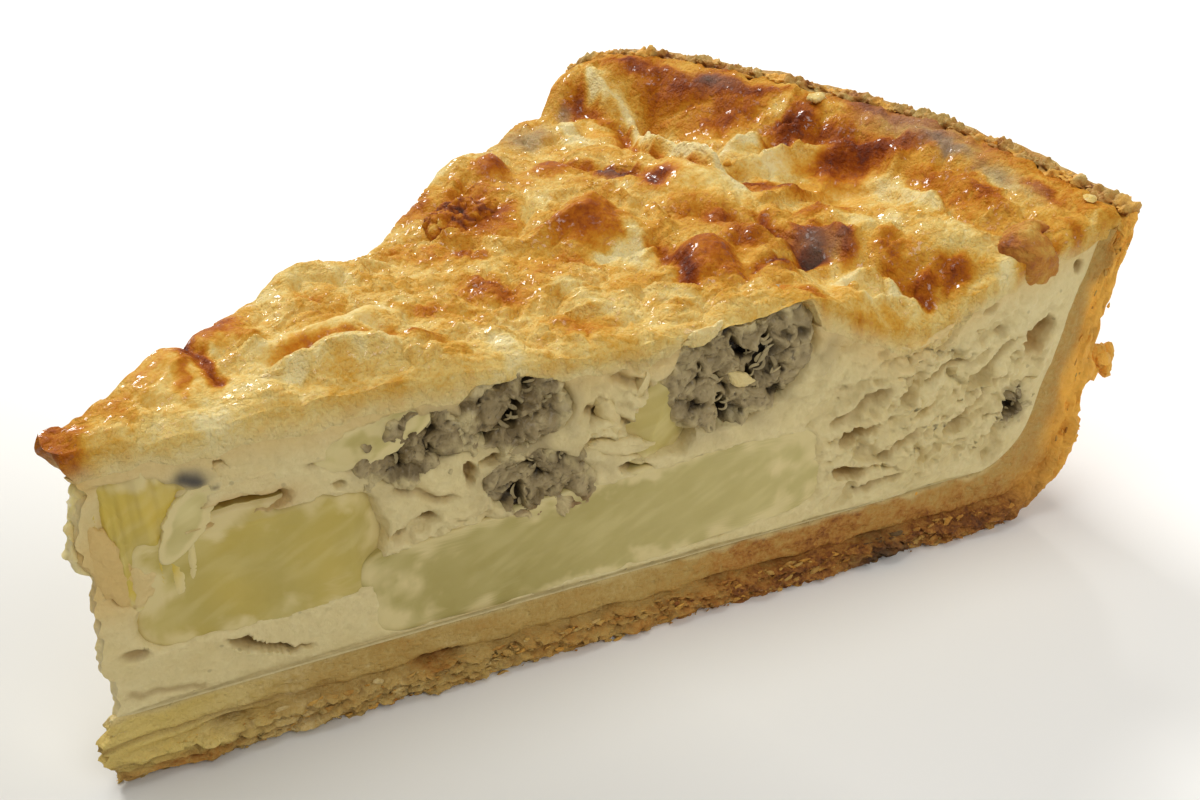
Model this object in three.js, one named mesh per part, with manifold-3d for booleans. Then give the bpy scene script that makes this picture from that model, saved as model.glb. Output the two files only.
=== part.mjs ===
// A slice of vegetable quiche: one eighth of a round tart, standing on its pastry base.
// Millimetres, +Z up. The slice's middle line runs along +X from the tip to the rim.
import * as THREE from "three";
import { mergeVertices } from "three/addons/utils/BufferGeometryUtils.js";
import { ImprovedNoise } from "three/addons/math/ImprovedNoise.js";
import Module from "manifold-3d";

// Driving sizes of the whole tart
const SLICE_ANGLE = THREE.MathUtils.degToRad(45);
const RIM_RADIUS = 125; // outside of the rim
const RIM_HEIGHT = 43;
const RIM_THICKNESS = 6;
const NEAR_DIP = 0.8; // the rim is this much lower at the near cut
const FAR_DIP = 2.5; // and at the far cut
const FOOT_RADIUS = 113; // outside of the wall where it leaves the base
const WALL_THICKNESS = 8;
const BASE_THICKNESS = 9;
const BROWN_LAYER = 3.6; // baked lower part of the base, under the pale dough
const FILL_HEIGHT = 39; // mean level of the browned cheese
const CHEESE_THICKNESS = 2.6;
const GAP = 0.3; // clearance between neighbouring pieces
const TIP_X = -61.1; // where the two cuts meet
const TIP_WIDTH = 1.4; // radius at which the blunt tip starts

// Sizes that follow from them
const HALF = SLICE_ANGLE / 2;
const INNER_FOOT = FOOT_RADIUS - WALL_THICKNESS;
const INNER_RIM = RIM_RADIUS - RIM_THICKNESS;

const { clamp, lerp, smoothstep } = THREE.MathUtils;
const noise = new ImprovedNoise();
const wasm = await Module();
wasm.setup();

// Smooth noise from about -1 to 1 with features about `size` millimetres wide.
function rough(x, y, z, size, seed) {
  const k = 1 / size;
  return noise.noise(x * k + seed * 7.3, y * k + seed * 3.1, z * k + seed * 5.7) * 1.6;
}

function bell(distance, width) {
  return Math.exp(-((distance / width) ** 2));
}

// What sticks out at the crumbly tip: the base, the custard, the potato and the cheese.
const TIP_BULGES = [
  { z: 4.5, width: 4.2, reach: 4 },
  { z: 16, width: 6, reach: 2.6 },
  { z: 28, width: 6, reach: 3.1 },
  { z: 40, width: 3, reach: 3 },
];
const TIP_FADE = 6; // the bulges die out over this length

// A point of the slice from its radius, angle and height.
function polar(r, angle, z) {
  const reach = TIP_BULGES.reduce((sum, bulge) => sum + bulge.reach * bell(z - bulge.z, bulge.width), 0);
  const x = TIP_X + r * Math.cos(angle) - reach * Math.exp(-(r - TIP_WIDTH) / TIP_FADE);
  return new THREE.Vector3(x, r * Math.sin(angle), z);
}

// Swellings and hollows of the browned top: place from the tip's corner, width, rise.
const TOP_SWELLS = [
  { x: 20, y: 7, width: 17, rise: 2.4 },
  { x: 11, y: 6, width: 7, rise: 1.8 },
  { x: 36, y: 15, width: 8, rise: 1.9 },
  { x: 32, y: -6, width: 7, rise: 1.7 },
  { x: 41, y: -12, width: 5, rise: 0.8 },
  { x: 54, y: 22, width: 12, rise: -3.2 },
  { x: 75, y: 27, width: 5, rise: 1.7 },
  { x: 72, y: 3, width: 5, rise: 1.7 },
  { x: 69, y: -8, width: 4, rise: -1.2 },
  { x: 76, y: -12, width: 6, rise: 1.6 },
  { x: 91, y: 3, width: 8, rise: 2.3 },
  { x: 88, y: 32, width: 9, rise: -2.8 },
  { x: 104, y: 42, width: 8, rise: -3.5 },
  { x: 107, y: -10, width: 9, rise: -4.6 },
  { x: 105, y: 24, width: 12, rise: -3.2 },
  { x: 86, y: -23, width: 5, rise: -2.8 },
  { x: 86, y: -38, width: 10, rise: -6.5 },
  { x: 74, y: -31, width: 5, rise: 1.6 },
  { x: 96, y: -28, width: 6, rise: 1.4 },
];

// The crease between two folds of cheese, which runs in from the far rim.
const CREASE = { from: [112, 36], to: [98, -1], width: 2.6, depth: 2.2 };

function creaseDepth(x, y, width) {
  const [x0, y0] = CREASE.from;
  const [dx, dy] = [CREASE.to[0] - x0, CREASE.to[1] - y0];
  const share = clamp(((x - x0) * dx + (y - y0) * dy) / (dx * dx + dy * dy), 0, 1);
  return CREASE.depth * bell(Math.hypot(x - x0 - share * dx, y - y0 - share * dy), width);
}

// How much lower the rim is at an angle than at the middle of the slice.
function rimDip(angle) {
  return FAR_DIP * smoothstep(angle, 0.75 * HALF, HALF) + NEAR_DIP * smoothstep(-angle, 0.5 * HALF, HALF);
}

// Near the wall the cheese climbs most of the way to just under the rim.
const CLIMB = { length: 7, share: 0.9, belowRim: 0.8 };

function foldedLevel(r, angle, swells, creaseWidth) {
  const x = r * Math.cos(angle);
  const y = r * Math.sin(angle);
  let z = FILL_HEIGHT - creaseDepth(x, y, creaseWidth);
  for (const swell of swells) z += swell.rise * bell(Math.hypot(x - swell.x, y - swell.y), swell.width);
  const climb = CLIMB.share * smoothstep(r, INNER_RIM - CLIMB.length, INNER_RIM);
  return lerp(z, RIM_HEIGHT - CLIMB.belowRim - rimDip(angle), climb);
}

// Height of the browned top, with its wrinkles, which are flat along the rim.
const WRINKLES = [
  { size: 7, height: 0.7, seed: 1 },
  { size: 3.5, height: 0.35, seed: 2 },
];

function topHeight(r, angle) {
  const [x, y] = [r * Math.cos(angle), r * Math.sin(angle)];
  const away = 1 - smoothstep(r, INNER_RIM - CLIMB.length, INNER_RIM);
  const wrinkles = WRINKLES.reduce((sum, w) => sum + w.height * rough(x, y, 0, w.size, w.seed), 0);
  return foldedLevel(r, angle, TOP_SWELLS, CREASE.width) + wrinkles * away;
}

// Height of the seam where the cheese lies on the custard. It follows the broad swellings and every hollow.
const BROAD = 8;
const SEAM_SWELLS = TOP_SWELLS.filter((swell) => swell.width >= BROAD || swell.rise < 0);

function seamHeight(r, angle) {
  return foldedLevel(r, angle, SEAM_SWELLS, 2 * CREASE.width) - CHEESE_THICKNESS;
}

// A box of u, v and w from 0 to 1, bent into a solid by place(u, v, w).
function warpedBox(stepsU, stepsV, stepsW, place) {
  const geometry = new THREE.BoxGeometry(1, 1, 1, stepsU, stepsV, stepsW);
  const position = geometry.getAttribute("position");
  for (let i = 0; i < position.count; i++) {
    const p = place(position.getX(i) + 0.5, position.getY(i) + 0.5, position.getZ(i) + 0.5);
    position.setXYZ(i, p.x, p.y, p.z);
  }
  return solidOf(geometry);
}

function solidOf(geometry) {
  geometry.deleteAttribute("normal");
  geometry.deleteAttribute("uv");
  const merged = mergeVertices(geometry, 1e-3);
  return new wasm.Manifold(
    new wasm.Mesh({
      numProp: 3,
      vertProperties: new Float32Array(merged.getAttribute("position").array),
      triVerts: new Uint32Array(merged.index.array),
    }),
  );
}

function geometryOf(solid) {
  const mesh = solid.getMesh();
  const geometry = new THREE.BufferGeometry();
  geometry.setAttribute("position", new THREE.BufferAttribute(mesh.vertProperties, 3));
  geometry.setIndex(new THREE.BufferAttribute(mesh.triVerts, 1));
  return geometry;
}

// The largest piece that is left after a cut, without loose scraps.
function largestOf(solid) {
  return solid.decompose().reduce((a, b) => (a.volume() > b.volume() ? a : b));
}

// Moves a point of one of the two cut faces along the face's outward normal.
function pushFromCut(point, angle, amount) {
  const side = Math.sign(angle);
  point.x -= side * Math.sin(angle) * amount;
  point.y += side * Math.cos(angle) * amount;
  return point;
}

function isAtEnd(share) {
  return share < 1e-6 || share > 1 - 1e-6;
}

// Pastry: a band whose inner and outer lines run along the base, round the foot and up the wall.
const FOOT_RISE = 9; // height of the inside's round foot above the base
const WALL_FOOT = INNER_FOOT + 8; // the inside's radius where its foot ends
const BULGE = { r: FOOT_RADIUS + 7.5, z: 11 }; // where the outside's round foot ends

function line(...points) {
  const corners = points.map(([r, z]) => new THREE.Vector2(r, z));
  return corners.length === 2 ? new THREE.LineCurve(...corners) : new THREE.QuadraticBezierCurve(...corners);
}

const INNER_LINE = [
  line([TIP_WIDTH, BASE_THICKNESS], [INNER_FOOT, BASE_THICKNESS]),
  line(
    [INNER_FOOT, BASE_THICKNESS],
    [INNER_FOOT + 6, BASE_THICKNESS + 1],
    [WALL_FOOT, BASE_THICKNESS + FOOT_RISE],
  ),
  line([WALL_FOOT, BASE_THICKNESS + FOOT_RISE], [INNER_RIM, RIM_HEIGHT - 1]),
];
const OUTER_LINE = [
  line([TIP_WIDTH, 0], [FOOT_RADIUS - 4, 0]),
  line([FOOT_RADIUS - 4, 0], [FOOT_RADIUS + 6, 1], [BULGE.r, BULGE.z]),
  line([BULGE.r, BULGE.z], [FOOT_RADIUS + 8, 24], [RIM_RADIUS, RIM_HEIGHT]),
];
const BASE_SHARE = 0.56; // share of the band's steps on the base
const WALL_SHARE = 0.28; // and up the wall

function bandPoint(curves, share) {
  const wallStart = 1 - WALL_SHARE;
  if (share <= BASE_SHARE) return curves[0].getPoint(share / BASE_SHARE);
  if (share <= wallStart) return curves[1].getPoint((share - BASE_SHARE) / (wallStart - BASE_SHARE));
  return curves[2].getPoint((share - wallStart) / WALL_SHARE);
}

// The cut through the pastry: a proud brown layer, a groove above it, and flaky crags.
const PASTRY_CUT = { proud: 1.7, groove: 0.9, grooveWidth: 0.9, waver: 0.5, crags: 0.55, cragSize: 3.2 };

function pastryCutRelief(r, z) {
  const groove = BROWN_LAYER + 0.4 + PASTRY_CUT.waver * rough(r, 0, 0, 14, 4);
  const proud = PASTRY_CUT.proud * smoothstep(groove + 0.2 - z, 0, 1.2);
  const crags = PASTRY_CUT.crags * rough(r, 2.2 * z, 0, PASTRY_CUT.cragSize, 5);
  return proud - PASTRY_CUT.groove * bell(z - groove, PASTRY_CUT.grooveWidth) + crags;
}

// The outside of the wall: a frayed bulge above the foot, and low swellings all over.
const FRAY = { z: 10, width: 3.5, depth: 1.5, swell: 0.6 };

function wallRelief(arc, z) {
  const fray = FRAY.depth * bell(z - FRAY.z, FRAY.width) * (0.4 + rough(arc, z, 0, 4, 7));
  return fray + FRAY.swell * rough(arc, z, 3, 5, 8);
}

const RIM_EDGE = { crown: 0.8, crags: 0.5 };

function pastryCrust() {
  const body = warpedBox(36, 10, 4, (u, v, w) => {
    const inner = bandPoint(INNER_LINE, u);
    const outer = bandPoint(OUTER_LINE, u);
    const angle = lerp(-HALF, HALF, v);
    const r = lerp(outer.x, inner.x, w);
    let z = lerp(outer.y, inner.y, w);
    const arc = r * angle;
    if (u > 1 - 1e-6) {
      z += RIM_EDGE.crown * Math.sin(Math.PI * w) + RIM_EDGE.crags * rough(arc, 9 * w, 0, 4, 6);
    }
    z -= rimDip(angle) * smoothstep(z, 0.6 * RIM_HEIGHT, RIM_HEIGHT);
    const outside = w < 1e-6 ? smoothstep(u, BASE_SHARE, 1 - 0.6 * WALL_SHARE) : 0;
    const point = polar(r + outside * wallRelief(arc, z), angle, z);
    return isAtEnd(v) ? pushFromCut(point, angle, pastryCutRelief(r, z)) : point;
  });
  return body.add(wallCrumb());
}

// A baked flake that clings to the outside of the wall beside the near cut.
const CRUMB = { r: FOOT_RADIUS + 9.6, angle: -HALF + 0.035, z: 20.5, size: 2.6 };

function wallCrumb() {
  const centre = polar(CRUMB.r, CRUMB.angle, CRUMB.z);
  const halfSizes = [CRUMB.size, CRUMB.size, CRUMB.size];
  return crag({ halfSizes, seed: 11, detail: 1, depth: 0.22, grain: 1.2 }, 0, (p) => p.add(centre));
}

// A lump: a unit ball pushed in and out by noise (depth as a share, grain in millimetres),
// stretched to its three half sizes plus `grow`, then placed.
function crag({ halfSizes, seed, detail = 2, depth, grain }, grow, place) {
  const geometry = new THREE.IcosahedronGeometry(1, detail);
  const position = geometry.getAttribute("position");
  const [sx, sy, sz] = halfSizes.map((h) => h + grow);
  const point = new THREE.Vector3();
  for (let i = 0; i < position.count; i++) {
    point.fromBufferAttribute(position, i);
    point.multiplyScalar(1 + depth * rough(point.x, point.y, point.z, grain / halfSizes[0], seed));
    point.set(point.x * sx, point.y * sy, point.z * sz);
    place(point);
    position.setXYZ(i, point.x, point.y, point.z);
  }
  return solidOf(geometry);
}

// A cut face's own frame: s runs outwards along the cut, d goes into the slice, z is up.
function onCut(side, s, d, z) {
  const angle = side * HALF;
  const x = TIP_X + s * Math.cos(angle) + side * d * Math.sin(angle);
  return new THREE.Vector3(x, s * Math.sin(angle) - side * d * Math.cos(angle), z);
}

// A cooked piece in the filling: a block with rounded edges, leaning in the cut's plane.
// Squareness 2 is an ellipsoid and 8 is nearly a brick.
function block(piece, grow) {
  const { side, s, d, z, halfSizes, lean, squareness } = piece;
  const [cos, sin] = [Math.cos(lean), Math.sin(lean)];
  const towardsEdges = (share) => Math.sign(share - 0.5) * Math.abs(2 * share - 1) ** 0.6;
  return warpedBox(5, 3, 3, (...shares) => {
    const cube = shares.map(towardsEdges);
    const norm = cube.reduce((sum, c) => sum + Math.abs(c) ** squareness, 0) ** (1 / squareness);
    const [along, across, deep] = cube.map((c, i) => (c / norm) * (halfSizes[i] + grow));
    return onCut(side, s + along * cos - across * sin, d + side * deep, z + along * sin + across * cos);
  });
}

// Cooked potato that shows at the near cut (side -1) and at the far cut (side 1).
// The sliver is a thin slice that stands on edge against the tip chunk.
const POTATOES = {
  potato_sliver: {
    side: -1, s: 10.2, d: 0.6, z: 30, halfSizes: [1.5, 5.2, 3.4], lean: -0.42, squareness: 4,
  },
  potato_tip_chunk: {
    side: -1, s: 3.6, d: 1.5, z: 28.6, halfSizes: [7.4, 6.6, 8], lean: -0.12, squareness: 5,
  },
  potato_block: {
    side: -1, s: 15.6, d: 5, z: 22, halfSizes: [10.4, 6.6, 16], lean: 0.02, squareness: 6,
  },
  potato_long_slice: {
    side: -1, s: 54.5, d: 11, z: 15.6, halfSizes: [27.5, 5.3, 15], lean: 0.05, squareness: 7,
  },
  potato_small_chunk: {
    side: -1, s: 61.6, d: 3, z: 28.2, halfSizes: [4, 4.2, 6.5], lean: -0.25, squareness: 4,
  },
  potato_thin_slice: {
    side: -1, s: 29.5, d: 3.5, z: 34.4, halfSizes: [5.6, 1.7, 5.5], lean: 0.3, squareness: 4,
  },
  potato_far_slab: {
    side: 1, s: 64, d: 6, z: 15.6, halfSizes: [20, 5, 8.5], lean: -0.03, squareness: 7,
  },
  potato_far_chunk: {
    side: 1, s: 95, d: 4, z: 24.5, halfSizes: [8.5, 5.6, 8], lean: 0.15, squareness: 5,
  },
};

// Mushroom: ragged grey lumps. The part beyond the cut is pressed flat, to this share of its reach.
const CUT_PRESS = 0.14;
const MUSHROOMS = {
  mushroom_near_left: { side: -1, s: 33, d: 1.6, z: 31.3, halfSizes: [5.6, 4.4, 3.3], seed: 21 },
  mushroom_near_middle: { side: -1, s: 43.6, d: 1.8, z: 33.2, halfSizes: [5.8, 4.6, 3.2], seed: 22 },
  mushroom_near_low: { side: -1, s: 47, d: 1.6, z: 23.8, halfSizes: [6.2, 4, 3.8], seed: 23 },
  mushroom_near_large: { side: -1, s: 71.4, d: 2.4, z: 31.6, halfSizes: [9, 5.4, 5.6], seed: 24 },
  mushroom_near_bit: { side: -1, s: 109.4, d: 0.8, z: 18.4, halfSizes: [2.4, 2, 2.6], seed: 25, detail: 1 },
  mushroom_far_left: { side: 1, s: 38, d: 1.6, z: 28.5, halfSizes: [7, 4.6, 4.4], seed: 26 },
  mushroom_far_right: { side: 1, s: 79, d: 1.8, z: 29.6, halfSizes: [8, 5, 4.2], seed: 27 },
};

function mushroom(piece, grow) {
  const { side, s, d, z } = piece;
  return crag({ ...piece, depth: 0.2, grain: 2.6 }, grow, (p) => {
    const depth = d - side * p.y;
    const pressed = grow > 0 || depth > 0 ? depth : depth * CUT_PRESS;
    p.copy(onCut(side, s + p.x, pressed, z + p.z));
  });
}

// Browned pieces that rise out of the cheese: place from the tip's corner.
const TOPPINGS = {
  browned_lump_near_rim: { x: 104.5, y: -39.6, z: 37.4, halfSizes: [4.8, 3.6, 3.9], seed: 31 },
  mushroom_on_top: { x: 64.6, y: 17.5, z: 37.6, halfSizes: [5.8, 4.6, 3.2], seed: 32 },
};

function topping(piece, grow) {
  const centre = new THREE.Vector3(TIP_X + piece.x, piece.y, piece.z);
  return crag({ ...piece, depth: 0.14, grain: 3 }, grow, (p) => p.add(centre));
}

// The space between the two cuts, from the pastry up, which trims the potato where it shows.
function cutEnvelope() {
  return warpedBox(12, 1, 10, (u, v, w) => {
    const z = lerp(BASE_THICKNESS + GAP, RIM_HEIGHT, w);
    return polar(lerp(TIP_WIDTH, INNER_FOOT, u ** 2.5), lerp(-HALF, HALF, v), z);
  });
}

// How far out the filling reaches at height z: two gaps short of the pastry's inside.
function wallInside(z) {
  const rise = (z - BASE_THICKNESS - FOOT_RISE) / (RIM_HEIGHT - 1 - BASE_THICKNESS - FOOT_RISE);
  const foot = (WALL_FOOT - INNER_FOOT) * Math.max(1 - (z - BASE_THICKNESS) / FOOT_RISE, 0) ** 2;
  return lerp(WALL_FOOT, INNER_RIM, Math.max(rise, 0)) - foot - 2 * GAP;
}

// Everything below the seam, raised a little, with a skirt all round that reaches past the cuts.
const SEAM_STEPS = { out: 22, across: 8, past: 4 };

function underSeam(raise) {
  const { out, across, past } = SEAM_STEPS;
  const inside = (share, steps) => clamp((share * (steps + 2) - 1) / steps, 0, 1);
  return warpedBox(out + 2, across + 2, 1, (u, v, w) => {
    const angle = lerp(-HALF, HALF, inside(v, across));
    const r = lerp(TIP_WIDTH, INNER_RIM, inside(u, out));
    const point = polar(r, angle, RIM_HEIGHT);
    if (isAtEnd(v)) pushFromCut(point, angle, past);
    if (isAtEnd(u)) point.x += Math.sign(u - 0.5) * past;
    point.z = w > 0.5 ? seamHeight(r, angle) + raise : 0;
    return point;
  });
}

// Set custard: it fills the case up to the cheese, and its cuts are uneven, with curds near the rim.
const CUSTARD_CUT = { swell: 0.45, fine: 0.25, curds: 0.5, curdsFrom: 70, curdsTo: 90 };

function custardCutRelief(r, z) {
  const curds = CUSTARD_CUT.curds * smoothstep(r, CUSTARD_CUT.curdsFrom, CUSTARD_CUT.curdsTo);
  const torn = (CUSTARD_CUT.fine + curds) * rough(0.6 * r, 1.6 * z, 0, 3, 13);
  return CUSTARD_CUT.swell * rough(r, z, 0, 6, 12) + torn;
}

function custardBody() {
  const body = warpedBox(26, 4, 5, (u, v, w) => {
    const angle = lerp(-HALF, HALF, v);
    const z = lerp(BASE_THICKNESS + GAP, RIM_HEIGHT, w);
    const r = lerp(TIP_WIDTH, wallInside(z), u);
    const point = polar(r, angle, z);
    return isAtEnd(v) ? pushFromCut(point, angle, custardCutRelief(r, z)) : point;
  });
  return body.intersect(underSeam(0));
}

// Melted cheese: a thin sheet on the custard, which hangs a little over both cuts.
const LIP = { mean: 0.5, uneven: 0.5 };
const FAR_LIP = { r: 9, width: 8, reach: 1.4 }; // it hangs further over the far cut near the tip

function lipReach(r, top, angle) {
  const far = angle > 0 ? FAR_LIP.reach * bell(r - FAR_LIP.r, FAR_LIP.width) : 0;
  return LIP.mean + LIP.uneven * rough(r, top, 0, 4, 14) + far;
}

function cheeseSheet() {
  const body = warpedBox(30, 12, 1, (u, v, w) => {
    const angle = lerp(-HALF, HALF, v);
    const top = topHeight(lerp(TIP_WIDTH, INNER_RIM, u), angle);
    const z = w > 0.5 ? top : top - 3 * CHEESE_THICKNESS;
    const r = lerp(TIP_WIDTH, wallInside(z), u);
    const point = polar(r, angle, top);
    point.z = z;
    return isAtEnd(v) ? pushFromCut(point, angle, lipReach(r, top, angle)) : point;
  });
  return body.subtract(underSeam(GAP));
}

// The looks of each kind of piece: colour and roughness.
const LOOKS = {
  potato: [0xd9cf8e, 0.45],
  mushroom: [0x7d7564, 0.5],
  browned: [0x8f5526, 0.5],
  custard: [0xe6dcb4, 0.5],
  cheese: [0xd79a48, 0.4],
  pastry: [0xc08a48, 0.8],
};

function foodMesh(name, solid, look) {
  const [color, roughness] = LOOKS[look];
  const material = new THREE.MeshStandardMaterial({ color, roughness, metalness: 0 });
  const mesh = new THREE.Mesh(geometryOf(solid), material);
  mesh.name = name;
  return mesh;
}

function quicheSlice() {
  const slice = new THREE.Group();
  const envelope = cutEnvelope();
  const lumpGap = 1.6 * GAP; // a lump's room is stretched, which leaves less than that at its sides
  const rooms = []; // the space that each piece placed so far keeps to itself

  const add = (name, look, solid, room) => {
    const body = rooms.reduce((rest, other) => rest.subtract(other), solid);
    slice.add(foodMesh(name, largestOf(body), look));
    if (room) rooms.push(room);
  };

  for (const [name, piece] of Object.entries(TOPPINGS)) {
    add(name, "browned", topping(piece, 0), topping(piece, lumpGap));
  }
  for (const [name, piece] of Object.entries(MUSHROOMS)) {
    add(name, "mushroom", mushroom(piece, 0), mushroom(piece, lumpGap));
  }
  for (const [name, piece] of Object.entries(POTATOES)) {
    add(name, "potato", block(piece, 0).intersect(envelope), block(piece, GAP));
  }
  add("melted_cheese_top", "cheese", cheeseSheet());
  add("custard_filling", "custard", custardBody());
  slice.add(foodMesh("pastry_crust", pastryCrust(), "pastry"));
  return slice;
}

export default quicheSlice();
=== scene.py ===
# A slice of vegetable quiche: flaky pastry, set custard with potato and mushroom in it, browned cheese on top.
# Shapes are worked out in millimetres from the slice's tip (x along its middle line, z up),
# and go into their meshes in metres at the place the CAD gives them.
import bpy
import numpy as np
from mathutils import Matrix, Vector


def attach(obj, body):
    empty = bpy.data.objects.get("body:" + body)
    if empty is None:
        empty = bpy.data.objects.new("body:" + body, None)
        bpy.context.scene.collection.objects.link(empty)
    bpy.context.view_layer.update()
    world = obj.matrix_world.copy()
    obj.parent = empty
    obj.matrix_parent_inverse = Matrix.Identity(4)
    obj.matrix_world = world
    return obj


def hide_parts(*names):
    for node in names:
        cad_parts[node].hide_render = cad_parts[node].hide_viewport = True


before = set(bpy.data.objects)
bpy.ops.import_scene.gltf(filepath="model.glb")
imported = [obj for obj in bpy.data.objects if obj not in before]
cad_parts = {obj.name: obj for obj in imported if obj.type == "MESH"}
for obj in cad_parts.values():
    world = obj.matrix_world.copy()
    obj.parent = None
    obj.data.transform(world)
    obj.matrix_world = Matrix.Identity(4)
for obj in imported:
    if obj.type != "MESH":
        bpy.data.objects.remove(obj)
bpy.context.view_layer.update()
print("frame loaded:", len(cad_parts), "nodes")

# Driving sizes of the tart, the same as the solids have
tart = {
    "halfAngle": np.radians(22.5),
    "tipX": -61.1,         # the tip's corner in the frame of the CAD
    "tipWidth": 1.4,
    "rimRadius": 125.0,
    "innerRim": 119.0,
    "rimHeight": 43.0,
    "nearDip": 0.8,        # the rim is this much lower at the near cut
    "farDip": 2.5,         # and at the far cut
    "brokenCorner": 1.6,   # and its very corner at the far cut has crumbled by this
    "footRadius": 113.0,
    "innerFoot": 105.0,
    "baseThickness": 9.0,
    "brownLayer": 3.6,     # baked lower part of the base
    "fillHeight": 39.0,
    "cheeseThickness": 2.6,
    "tipBulges": [(4.5, 4.2, 4.0), (16, 6, 2.6), (28, 6, 3.1), (40, 3, 3)],  # height, width, reach
    "tipFade": 6.0,
}
sinHalf = np.sin(tart["halfAngle"])
cosHalf = np.cos(tart["halfAngle"])


# Small sums
def mix(a, b, t):
    return a + (b - a) * t


def smooth(x, low, high):
    # 0 below low, 1 above high, and 3t^2 - 2t^3 between
    t = np.clip((x - low) / (high - low), 0, 1)
    return t * t * (3 - 2 * t)


def bell(distance, width):
    return np.exp(-((distance / width) ** 2))


def latticeHash(ix, iy, iz, seed):
    # one scrambled 32-bit number for each point of a whole-number lattice
    h = ix.astype(np.uint32) * np.uint32(0x8DA6B343)
    h = h ^ (iy.astype(np.uint32) * np.uint32(0xD8163841))
    h = h ^ (iz.astype(np.uint32) * np.uint32(0xCB1AB31F))
    h = h ^ np.uint32((seed * 0x9E3779B1 + 0x7F4A7C15) & 0xFFFFFFFF)
    h = (h ^ (h >> np.uint32(15))) * np.uint32(0x2C1B3C6D)
    h = (h ^ (h >> np.uint32(12))) * np.uint32(0x297A2D39)
    return h ^ (h >> np.uint32(15))


def noise(x, y, z, size, seed=0):
    # gradient noise: a smooth blend of the slopes at the 8 corners of the lattice cell, about -1 to 1
    x, y, z = np.broadcast_arrays(x / size, y / size, z / size)
    corner = [np.floor(a) for a in (x, y, z)]
    inside = [a - c for a, c in zip((x, y, z), corner)]
    fade = [t * t * t * (t * (t * 6 - 15) + 10) for t in inside]
    whole = [c.astype(np.int64) for c in corner]
    total = np.zeros(x.shape)
    for step in range(8):
        dx, dy, dz = step & 1, (step >> 1) & 1, step >> 2
        h = latticeHash(whole[0] + dx, whole[1] + dy, whole[2] + dz, seed)
        slope = [((h >> np.uint32(shift)) & np.uint32(1023)) / 511.5 - 1 for shift in (0, 10, 20)]
        rise = slope[0] * (inside[0] - dx) + slope[1] * (inside[1] - dy) + slope[2] * (inside[2] - dz)
        share = [f if d else 1 - f for f, d in zip(fade, (dx, dy, dz))]
        total += rise * share[0] * share[1] * share[2]
    return total * 1.7


def cloud(x, y, z, size, octaves=3, seed=0, keep=0.5):
    # sum of noises, each half the size and `keep` the height of the one before
    return sum(keep ** i * noise(x, y, z, size / 2 ** i, seed + 17 * i) for i in range(octaves))


def ridged(x, y, z, size, octaves=2, seed=0):
    # noise folded at zero, so that it makes sharp crests: 1 on a crest, 0 far from it
    return sum(0.5 ** i * (1 - 2 * np.abs(noise(x, y, z, size / 2 ** i, seed + 23 * i))) for i in range(octaves))


def cells(x, y, size, seed=0):
    # distance to the nearest and to the second nearest scattered point, and the nearest one's own number 0 to 1
    x, y = np.broadcast_arrays(x / size, y / size)
    ix, iy = np.floor(x).astype(np.int64), np.floor(y).astype(np.int64)
    first = np.full(x.shape, 9.0)
    second = np.full(x.shape, 9.0)
    number = np.zeros(x.shape)
    for dx in (-1, 0, 1):
        for dy in (-1, 0, 1):
            h = latticeHash(ix + dx, iy + dy, ix * 0, seed)
            px = ix + dx + (h & np.uint32(1023)) / 1023
            py = iy + dy + ((h >> np.uint32(10)) & np.uint32(1023)) / 1023
            far = np.hypot(px - x, py - y)
            closer = far < first
            second = np.where(closer, first, np.minimum(second, far))
            number = np.where(closer, (h >> np.uint32(20)) / 4095, number)
            first = np.where(closer, far, first)
    return first, second, number


def billow(x, y, size, octaves=1, seed=0, keep=0.5):
    # noise folded at zero the other way up: round bumps with sharp valleys between them, 0 to 1
    return sum(keep ** i * np.minimum(2.4 * np.abs(noise(x, y, 0 * x, size / 2 ** i, seed + 29 * i)), 1) ** 0.65
               for i in range(octaves))


def beads(x, y, size, seed=0):
    # round bumps packed side by side: the height of a dome over each scattered point, 1 in its middle
    first, second, number = cells(x, y, size, seed)
    return np.sqrt(np.clip(1 - (first / 0.85) ** 2, 0, 1)), number


def turned(x, y, degrees):
    c, s = np.cos(np.radians(degrees)), np.sin(np.radians(degrees))
    return x * c + y * s, y * c - x * s


def patch(x, y, spot):
    # a spot is (x, y, long, wide, turn, amount): 1 in its middle and a soft step down at its oval edge
    px, py, long, wide, turn = spot[:5]
    a, b = turned(x - px, y - py, turn)
    return np.exp(-(((a / long) ** 2 + (b / wide) ** 2) ** 1.4))


def lump(x, y, spot):
    # the same oval, rounder on top, with a shallow moat around it
    px, py, long, wide, turn = spot[:5]
    a, b = turned(x - px, y - py, turn)
    share = np.sqrt((a / long) ** 2 + (b / wide) ** 2)
    return np.exp(-share ** 2.6) - 0.22 * bell(share - 1.4, 0.4)


def lineDistance(x, y, points):
    # distance to a bent line, and which side of it: positive on the left of its direction
    best = np.full(np.shape(x), 1e9)
    side = np.zeros(np.shape(x))
    for (x0, y0), (x1, y1) in zip(points[:-1], points[1:]):
        dx, dy = x1 - x0, y1 - y0
        t = np.clip(((x - x0) * dx + (y - y0) * dy) / (dx * dx + dy * dy), 0, 1)
        far = np.hypot(x - x0 - t * dx, y - y0 - t * dy)
        left = (y - y0) * dx - (x - x0) * dy
        side = np.where(far < best, np.sign(left), side)
        best = np.minimum(best, far)
    return best, side


# The slice's own coordinates
def polar(r, angle, z):
    # x = r cos(angle), less the tip's bulges, which are bells in z that fade along r; y = r sin(angle)
    reach = sum(out * bell(z - at, width) for at, width, out in tart["tipBulges"])
    fade = np.exp(-(r - tart["tipWidth"]) / tart["tipFade"])
    return np.stack([r * np.cos(angle) - reach * fade, r * np.sin(angle), z + 0 * r], -1)


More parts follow.
